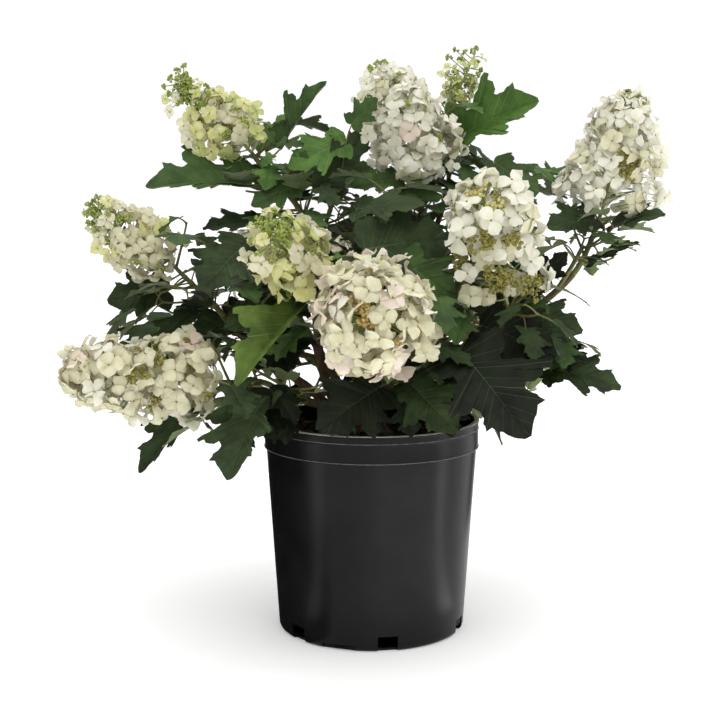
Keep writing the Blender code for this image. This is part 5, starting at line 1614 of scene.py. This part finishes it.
# %% [markdown]
# ## Green stems and leaf stalks
#
# The year's shoots are green to tan and swell a little where each pair of leaves
# joins them.  A leaf stalk leaves the stem at an angle and curves into the
# midrib.  Both are lines for the same tree that made the canes.

# %% Green stems, twigs and leaf stalks
def stem_line(growth, count):
    points, radii = growth.path.samples(count)
    for share in {share for _blade, share in growth.leaves}:
        nearest = round(share * (count - 1))
        radii[nearest] *= 1.22
    return points, radii


def stalk_line(growth, blade, share):
    """The curved stalk of one leaf, from its node into its midrib."""
    start = growth.path.point(share)
    end = blade.base + blade.way * (0.02 * blade.length)
    span = (end - start).normalized()
    thick = 1.15 * MM * max(0.75, blade.length / 0.095)
    path = Path(start, span + growth.path.way(share) * 0.35, end, span + blade.way * 0.8,
                thick * 1.15, thick * 0.8)
    points, radii = path.samples(7)
    radii[0] *= 1.35
    return points, radii


shoot_lines = [stem_line(shoot, 26) for shoot in shoots.values()]
twig_lines = [stem_line(twig, 12) for twig in twigs]
stalk_lines = [stalk_line(growth, blade, share) for growth in [*shoots.values(), *twigs]
               for blade, share in growth.leaves]
settle(stems("green_shoots", shoot_lines, 12, 0.35, 70, shoot_green), [])
settle(stems("green_twigs", twig_lines, 8, 0.2, 70, shoot_green), [])
settle(stems("leaf_stalks", stalk_lines, 6, 0.12, 80, stalk_skin), [])

# %% [markdown]
# ## Flower heads
#
# A panicle is a tapering spike of fine branches.  Each branch ends in a showy
# sterile floret on a thread-like stalk, with small fertile buds in between.  The
# florets face outwards and overlap like scales.  A golden-angle spiral spreads
# them evenly over the head's outline, which is the one the plain solid has.

# %% Shapes of a floret, its eye and a bud
SEPAL_ACROSS, SEPAL_THICK = 2, 0.02
# Rows of a sepal from its claw to its end: (share of its length, half its width).
SEPAL_OUTLINE = ((0.03, 0.10), (0.34, 0.38), (0.68, 0.52), (0.93, 0.38), (1.06, 0.08))


def sepal(first, turn, lift, rng):
    """Points and faces of one sepal of a floret with radius one: two layers that share a rim."""
    long = rng.uniform(0.86, 1.08)
    wide = rng.uniform(0.88, 1.18)
    rise = rng.uniform(-0.25, 0.50)     # how far the sepal stands up
    droop = rng.uniform(0.0, 0.50)      # how far its end bends back
    fold = rng.uniform(-0.25, 0.50)     # rise of its two halves
    twist = rng.uniform(-0.35, 0.35)
    ruffle = [rng.uniform(-0.07, 0.07) for _ in range(12)]
    cosine, sine = math.cos(turn), math.sin(turn)
    points, index_of, faces = [], {}, []

    def corner(row, step, under):
        is_rim = row in (0, len(SEPAL_OUTLINE) - 1) or step in (0, SEPAL_ACROSS)
        key = (row, step, under and not is_rim)
        if key not in index_of:
            share, half = SEPAL_OUTLINE[row]
            side = 2 * step / SEPAL_ACROSS - 1
            x = long * share - 0.10 * side ** 2 * share
            y = wide * half * side
            z = lift + rise * share - droop * share ** 3 + fold * abs(y) + twist * side * share
            z += ruffle[2 * row + (step > 0)] * share * abs(side) - SEPAL_THICK * key[2]
            index_of[key] = first + len(points)
            points.append((x * cosine - y * sine, x * sine + y * cosine, z))
        return index_of[key]

    for row in range(len(SEPAL_OUTLINE) - 1):
        for step in range(SEPAL_ACROSS):
            for under in (0, 1):
                face = [corner(row, step, under), corner(row + 1, step, under),
                        corner(row + 1, step + 1, under), corner(row, step + 1, under)]
                if under:
                    face[1], face[3] = face[3], face[1]
                faces.append(tuple(face))
    return points, faces


def floret(index, rng):
    """A floret of four broad sepals in two crossed pairs."""
    points, faces = [], []
    for number in range(4):
        turn = number * math.pi / 2 + rng.uniform(-0.20, 0.20)
        sepal_points, sepal_faces = sepal(len(points), turn, 0.06 * (number % 2), rng)
        points += sepal_points
        faces += sepal_faces
    return mesh_object("floret_%d" % index, points, faces, sharp=60)


def round_thing(name, stretch):
    """A small ball, drawn out along Z by a factor."""
    shape = bmesh.new()
    bmesh.ops.create_icosphere(shape, subdivisions=1, radius=1.0)
    bmesh.ops.scale(shape, vec=(1, 1, stretch), verts=shape.verts)
    return object_from(name, shape)


print("a floret has", 4 * 2 * len(sepal(0, 0, 0, random.Random(1))[1]), "triangles")

# %% Looks of the heads
TONE_MIX = {        # shares of the sepal tones in a head of each colour
    "white": (("white", 0.85), ("cream", 0.15)),
    "cream": (("cream", 0.80), ("white", 0.13), ("blush", 0.07)),
    "greenish": (("greenish", 0.62), ("cream", 0.20), ("lime", 0.18)),
    "pale": (("cream", 0.55), ("greenish", 0.45)),
    "green": (("lime", 0.70), ("greenish", 0.30)),
}
# Looks of a head: (floret radius in mm, florets' area over the head's outline, share
# of its length at the tip with buds and half-open florets only, loss of the florets'
# size towards the tip, tone of its buds, tufts of buds among its florets).
HEAD_LOOKS = {
    "upper_left": (13.0, 0.80, 0.30, 0.55, "green", 20), "left": (12.5, 0.95, 0.16, 0.45, "green", 12),
    "low_left": (14.0, 0.90, 0.0, 0.15, "olive", 16), "centre_left": (15.0, 0.85, 0.20, 0.35, "green", 8),
    "centre": (15.5, 0.95, 0.0, 0.10, "tan", 10), "top_centre": (13.5, 0.98, 0.04, 0.25, "green", 6),
    "top": (6.5, 0.35, 0.40, 0.35, "green", 22), "right_centre": (15.5, 0.80, 0.0, 0.10, "olive", 22),
    "right": (13.0, 0.92, 0.03, 0.30, "olive", 16),
}
BACK_LOOK = (15.5, 0.85, 0.0, 0.15, "olive", 10)      # the heads at the back
FLORET_KINDS = 12
BUD_SIZE = (1.1 * MM, 1.9 * MM)
BLUSH_CHANCE = 0.75
PATCH_TRIES = 3000
TIP_POWER = 3.6             # roundness of a head's tip
# Where sepals of the front have blushed: (x mm, z mm, radius mm) at y = 0, by head.
BLUSHES = {
    "centre": ((-54, 338, 30), (24, 270, 20), (-27, 283, 12)),
    "top_centre": ((46, 508, 12),),
}
# Florets that stand out of their head by themselves: (x mm, y mm, z mm, radius mm), by head.
LOOSE_FLORETS = {
    "top_centre": ((65, 0, 465, 9), (53, -10, 459, 8), (80, 0, 471, 8), (-5, 0, 551, 9), (-11, 0, 536, 10),
        (-9, 0, 516, 11), (-4, -10, 502, 11), (13, 0, 563, 8), (-1, 0, 562, 8), (8, 0, 565, 8),
        (19, 0, 566, 8)),
    "low_left": ((-162, -70, 267, 14), (-180, -70, 311, 12)),
    "right": ((188, 0, 451, 12), (293, 0, 439, 11), (282, 0, 501, 11), (288, 0, 484, 12), (287, 0, 469, 10),
        (250, 0, 540, 9), (265, 0, 542, 8), (274, 0, 531, 9)),
    "left": ((-249, -40, 377, 12), (-266, -50, 391, 9), (-257, -40, 382, 9), (-232, -50, 426, 10),
        (-215, -50, 421, 10), (-204, -50, 412, 10), (-255, -50, 437, 8), (-244, -50, 433, 8)),
    "upper_left": ((-205, 0, 536, 6), (-195, 0, 538, 6), (-201, 0, 524, 7), (-180, 0, 520, 10),
        (-187, 0, 510, 9), (-182, 0, 497, 11), (-172, 0, 488, 11), (-160, 0, 485, 10), (-174, -10, 504, 11),
        (-149, 0, 541, 9), (-138, 0, 536, 10), (-127, 0, 532, 10), (-115, 0, 525, 9), (-125, 0, 522, 10)),
    "top": ((78, 70, 574, 5), (73, 70, 566, 5), (77, 70, 554, 5), (84, 70, 545, 5)),
    "right_centre": ((93, -120, 404, 14), (101, -120, 385, 12), (123, -115, 390, 12), (148, -100, 381, 14),
        (88, -115, 371, 12), (92, -105, 349, 13), (108, -95, 348, 10), (131, -90, 353, 7),
        (149, -95, 398, 9), (68, -50, 376, 8)),
}
# Tufts of buds that stand out by themselves, in the same columns.
LOOSE_TUFTS = {
    "upper_left": ((-204, 0, 549, 4), (-198, 0, 556, 4), (-199, 0, 542, 4), (-192, 0, 563, 4),
        (-186, 0, 568, 3), (-191, 0, 533, 4), (-185, 0, 539, 5), (-184, 0, 553, 5), (-136, -10, 525, 4),
        (-125, -10, 515, 4)),
    "left": ((-273, -50, 432, 4), (-265, -50, 440, 3), (-267, -50, 426, 4)),
    "top": ((88, 70, 590, 3), (92, 70, 580, 3), (81, 70, 583, 3)),
    "top_centre": ((6, 0, 570, 4), (12, 0, 571, 4), (-1, 0, 567, 3)),
}
# Openings between the florets of the front: (x mm, z mm, radius mm, tone of the buds
# that fill it) at y = 0, by head.
BUD_PATCHES = {
    "centre": ((-2, 324, 13, "tan"), (-10, 336, 9, "tan"), (5, 310, 9, "tan")),
    "right_centre": ((106, 446, 11, "yellow"), (126, 430, 7, "yellow"), (112, 397, 12, "olive"),
        (141, 397, 9, "olive"), (130, 357, 14, "olive"), (160, 352, 12, "olive"), (84, 372, 12, "olive"),
        (84, 375, 19, "open"), (79, 346, 19, "open"), (108, 336, 19, "open"), (138, 336, 19, "open"),
        (165, 344, 18, "open"), (110, 373, 15, "open"), (137, 373, 16, "open"), (129, 405, 9, "open"),
        (175, 382, 15, "open")),
    "low_left": ((-241, 260, 8, "olive"), (-231, 252, 8, "olive"), (-215, 278, 9, "olive"),
        (-219, 230, 7, "olive"), (-267, 277, 5, "olive"), (-309, 269, 6, "olive")),
    "right": ((250, 474, 8, "olive"), (262, 470, 7, "olive"), (268, 520, 6, "olive"),
        (258, 543, 8, "green"), (255, 526, 5, "olive"), (256, 471, 11, "olive"), (245, 468, 8, "olive")),
    "top_centre": ((11, 567, 8, "green"),),
    "centre_left": ((-96, 415, 15, "green"), (-87, 401, 9, "green"), (-76, 375, 8, "green")),
    "upper_left": ((-190, 539, 12, "green"), (-184, 551, 10, "green"), (-171, 524, 8, "green")),
    "left": ((-274, 431, 9, "green"), (-255, 415, 7, "green")),
}
# Tones of half-open florets at the tip of a head of each colour.
TIP_TONES = {
    "white": ("cream", "greenish"), "cream": ("cream", "greenish"), "greenish": ("lime", "greenish"),
    "pale": ("lime", "greenish"), "green": ("lime", "lime"),
}

print("loose florets:", {name: len(rows) for name, rows in LOOSE_FLORETS.items()})

# %% Florets and tufts of buds
floret_spots = {tone: [] for tone in SEPAL_TONES}
bud_spots = {tone: [] for tone in BUD_TONES}
eye_spots, pedicels, branches = [], [], []


def deal_sepals(rng, name, centre):
    """A tone for one floret, by its head's colour and by the blushed places."""
    for blush in BLUSHES.get(name, ()):
        if is_within(seen_from_front(centre), [blush]) and rng.random() < BLUSH_CHANCE:
            return "blush"
    mix = TONE_MIX[HEADS[name][3]]
    chance = rng.random()
    for tone, share in mix:
        chance -= share
        if chance < 0:
            return tone
    return mix[0][0]


def bud_cluster(rng, centre, outward, reach, count, tone, foot=None):
    """A tuft of round buds on the outer side of a point, on a stalk of its own if it has a foot."""
    if foot is not None:
        pedicels.append(([foot, centre], [0.6 * MM, 0.5 * MM]))
    for index in range(count):
        way = Vector([rng.gauss(0, 1) for _ in range(3)]).normalized() + outward * 0.6
        way.normalize()
        place = centre + way * reach * rng.uniform(0.75, 1.0)
        bud_spots[tone].append((tuple(place), tuple(way), 0.0, rng.uniform(*BUD_SIZE), index % 2))
        if index % 3 == 0:
            pedicels.append(([centre, place], [0.45 * MM, 0.3 * MM]))


def open_floret(rng, tone, centre, normal, size, foot):
    """One open floret with its closed middle and its thin stalk from a foot."""
    floret_spots[tone].append(
        (tuple(centre), tuple(normal), rng.uniform(0, math.tau), size, rng.randrange(FLORET_KINDS)))
    eye_spots.append((tuple(centre + normal * size * 0.08), tuple(normal), 0.0, size * 0.085, 0))
    bow = foot.lerp(centre, 0.55) + UP * 1.5 * MM
    pedicels.append(([foot, bow, centre], [0.55 * MM, 0.45 * MM, 0.4 * MM]))


# %% One panicle after the other
def flower_head(name):
    """Florets, buds and branches of one panicle; returns the number of its outer florets."""
    radius_mm, cover, bare, dwindle, tone, tufts = HEAD_LOOKS.get(name, BACK_LOOK)
    base, tip, low, high = head_axis(name, shoots)
    axis = tip - base
    way = axis.normalized()
    rng = random.Random("fine head " + name)
    side = axis.orthogonal().normalized()
    other = way.cross(side)
    size = radius_mm * MM
    leafy = 1 - bare
    area = math.tau * (low + high) / 2 * axis.length * leafy
    count = max(8, round(cover * area / (math.pi * (0.8 * size) ** 2)))
    patches = BUD_PATCHES.get(name, ())
    branches.append(Path(base, axis, base + axis * 0.94, axis, 1.8 * MM, 0.7 * MM).samples(10))

    def radius_at(share):
        return head_radius(share, low, high, TIP_POWER)

    def around(share, turn):
        return side * math.cos(turn) + other * math.sin(turn), radius_at(share)

    def share_of(point):
        return (point - base).dot(axis) / axis.length_squared

    # an outer and an inner layer of open florets on a golden spiral
    for number, depth in ((count, (-0.15, 0.55)), (round(0.35 * count), (0.8, 1.3))):
        for index in range(number):
            share = 0.04 + (leafy - 0.05) * ((index + 0.5) / number) ** 1.02
            share = min(0.99, max(0.03, share + rng.uniform(-0.02, 0.02)))
            radial, radius = around(share, index * GOLDEN_TURN + rng.uniform(-0.22, 0.22))
            fall = radius_at(share - 0.04) - radius_at(min(1, share + 0.04))
            slope = min(2.5, max(-0.8, fall / (0.08 * axis.length)))
            tilt = Vector([rng.uniform(-0.6, 0.6) for _ in range(3)])
            normal = (radial + way * slope + UP * 0.15 + tilt).normalized()
            own = size * rng.uniform(0.85, 1.12) * (1 - dwindle * share ** 2)
            centre = base + axis * share + radial * max(0.1 * radius, radius - rng.uniform(*depth) * own)
            seen = seen_from_front(centre)
            if any((normal.y < 0.3 or patch[3] == "open") and is_within(seen, [patch[:3]])
                   for patch in patches):
                continue
            foot = base + axis * max(0.02, share - 0.06) + radial * radius * 0.3
            open_floret(rng, deal_sepals(rng, name, centre), centre, normal, own, foot)
    # the florets and tufts of buds that stand out by themselves
    for *place, loose_mm in LOOSE_FLORETS.get(name, ()):
        centre = in_metres(place)
        foot = base + axis * min(0.9, max(0.1, share_of(centre)))
        normal = (centre - foot).normalized() * 0.6 + Vector((0, -1, 0.2))
        open_floret(rng, deal_sepals(rng, name, centre), centre, normal.normalized(), loose_mm * MM, foot)
    for *place, loose_mm in LOOSE_TUFTS.get(name, ()):
        centre = in_metres(place)
        foot = base + axis * min(0.96, max(0.1, share_of(centre) - 0.1))
        bud_cluster(rng, centre, (centre - foot).normalized(), loose_mm * MM, 9, tone, foot)
    # side branches in pairs, and tufts of buds among the florets
    levels = max(4, round(axis.length / (9 * MM)))
    for level in range(levels):
        share = 0.05 + 0.85 * level / levels
        for half in range(2):
            radial, radius = around(share, level * 1.9 + half * math.pi)
            foot = base + axis * share
            end = foot + radial * radius * 0.55 + way * radius * 0.25
            arrive = axis * 0.3 + radial * axis.length
            branches.append(Path(foot, radial, end, arrive, 0.9 * MM, 0.5 * MM).samples(5))
    for index in range(tufts):
        share = 0.08 + (leafy - 0.12) * (index + 0.5) / tufts
        radial, radius = around(share, index * GOLDEN_TURN * 1.7 + 0.5)
        bud_cluster(rng, base + axis * share + radial * (radius - 6 * MM), radial, 5 * MM, 11, tone)
    # tufts of buds in the patches that open towards the front
    for *patch, patch_tone in patches:
        wanted = 0 if patch_tone == "open" else max(2, round((patch[2] / 5.5) ** 2 * 2.2))
        for _ in range(PATCH_TRIES):
            if not wanted:
                break
            share = 0.999 - 0.97 * rng.random() ** 1.5
            radial, radius = around(share, rng.uniform(0, math.tau))
            deep = rng.uniform(5, 11) * MM
            middle = base + axis * (share - deep / axis.length * (share > 0.7))
            place = middle + radial * max(0.0, radius - deep)
            faces_front = radial.y < 0.2 or (share > 0.85 and axis.y < 0)
            if faces_front and is_within(seen_from_front(place), [patch]):
                outward = (radial - Vector((0, 0.5, 0))).normalized()
                bud_cluster(rng, place, outward, 4.5 * MM, 12, patch_tone)
                wanted -= 1
    # buds at the tip, with a half-open floret in every third place
    tip_tufts = round(bare * axis.length * (low + high) * 0.5 / (16 * MM) ** 2 * 7)
    for index in range(tip_tufts):
        share = leafy - 0.06 + (bare + 0.04) * (index + 0.5) / tip_tufts
        radial, radius = around(min(0.985, share), index * GOLDEN_TURN)
        out = (radial + way * (0.3 + share)).normalized()
        foot = base + axis * (share - 0.04)
        place = base + axis * share + radial * radius * rng.uniform(0.55, 0.9)
        if index % 3 == 1:
            half_open = rng.choice(TIP_TONES[HEADS[name][3]])
            open_floret(rng, half_open, place, out, rng.uniform(4, 7) * MM, foot)
        else:
            bud_cluster(rng, place, out, 3 * MM, 7, tone, foot)
    return count


print("outer florets:", {name: flower_head(name) for name in HEADS})

# %% The flower heads
HEADS_OF_TONE = {
    "white": ("top_centre", "right_centre", "right", "low_left", "back_left", "back_right"),
    "cream": ("centre", "back", "back_low"),
    "greenish": ("upper_left", "left", "centre_left"),
    "lime": ("top",),
    "blush": (),
}
for tone, spots in floret_spots.items():
    rng = random.Random("florets " + tone)
    florets = [floret(i, rng) for i in range(FLORET_KINDS)]
    piece = set_on_points("florets_" + tone, spots, florets, sepal_skin[tone])
    settle(piece, ["flowers_" + name for name in HEADS_OF_TONE[tone]])
eyes = set_on_points("floret_eyes", eye_spots, [round_thing("eye", 0.8)], bud_skin["olive"])
settle(eyes, [])
for tone, spots in bud_spots.items():
    things = [round_thing("bud_0", 1.0), round_thing("bud_1", 1.15)]
    settle(set_on_points("flower_buds_" + tone, spots, things, bud_skin[tone]), [])
settle(stems("flower_branches", branches, 6, 0.0, 60, head_stalk_skin), [])
settle(stems("floret_stalks", pedicels, 4, 0.0, 60, head_stalk_skin), [])

# %% [markdown]
# ## Size and finish
#
# The finished model is measured beside the frame of solids.

# %% Size and finish
look_box = [list(corner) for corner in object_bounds()]
for axis_name, *limits in zip("xyz", *look_box, *cad_box):
    print(axis_name, "of the model and of the solids, from and to", [round(limit, 4) for limit in limits])
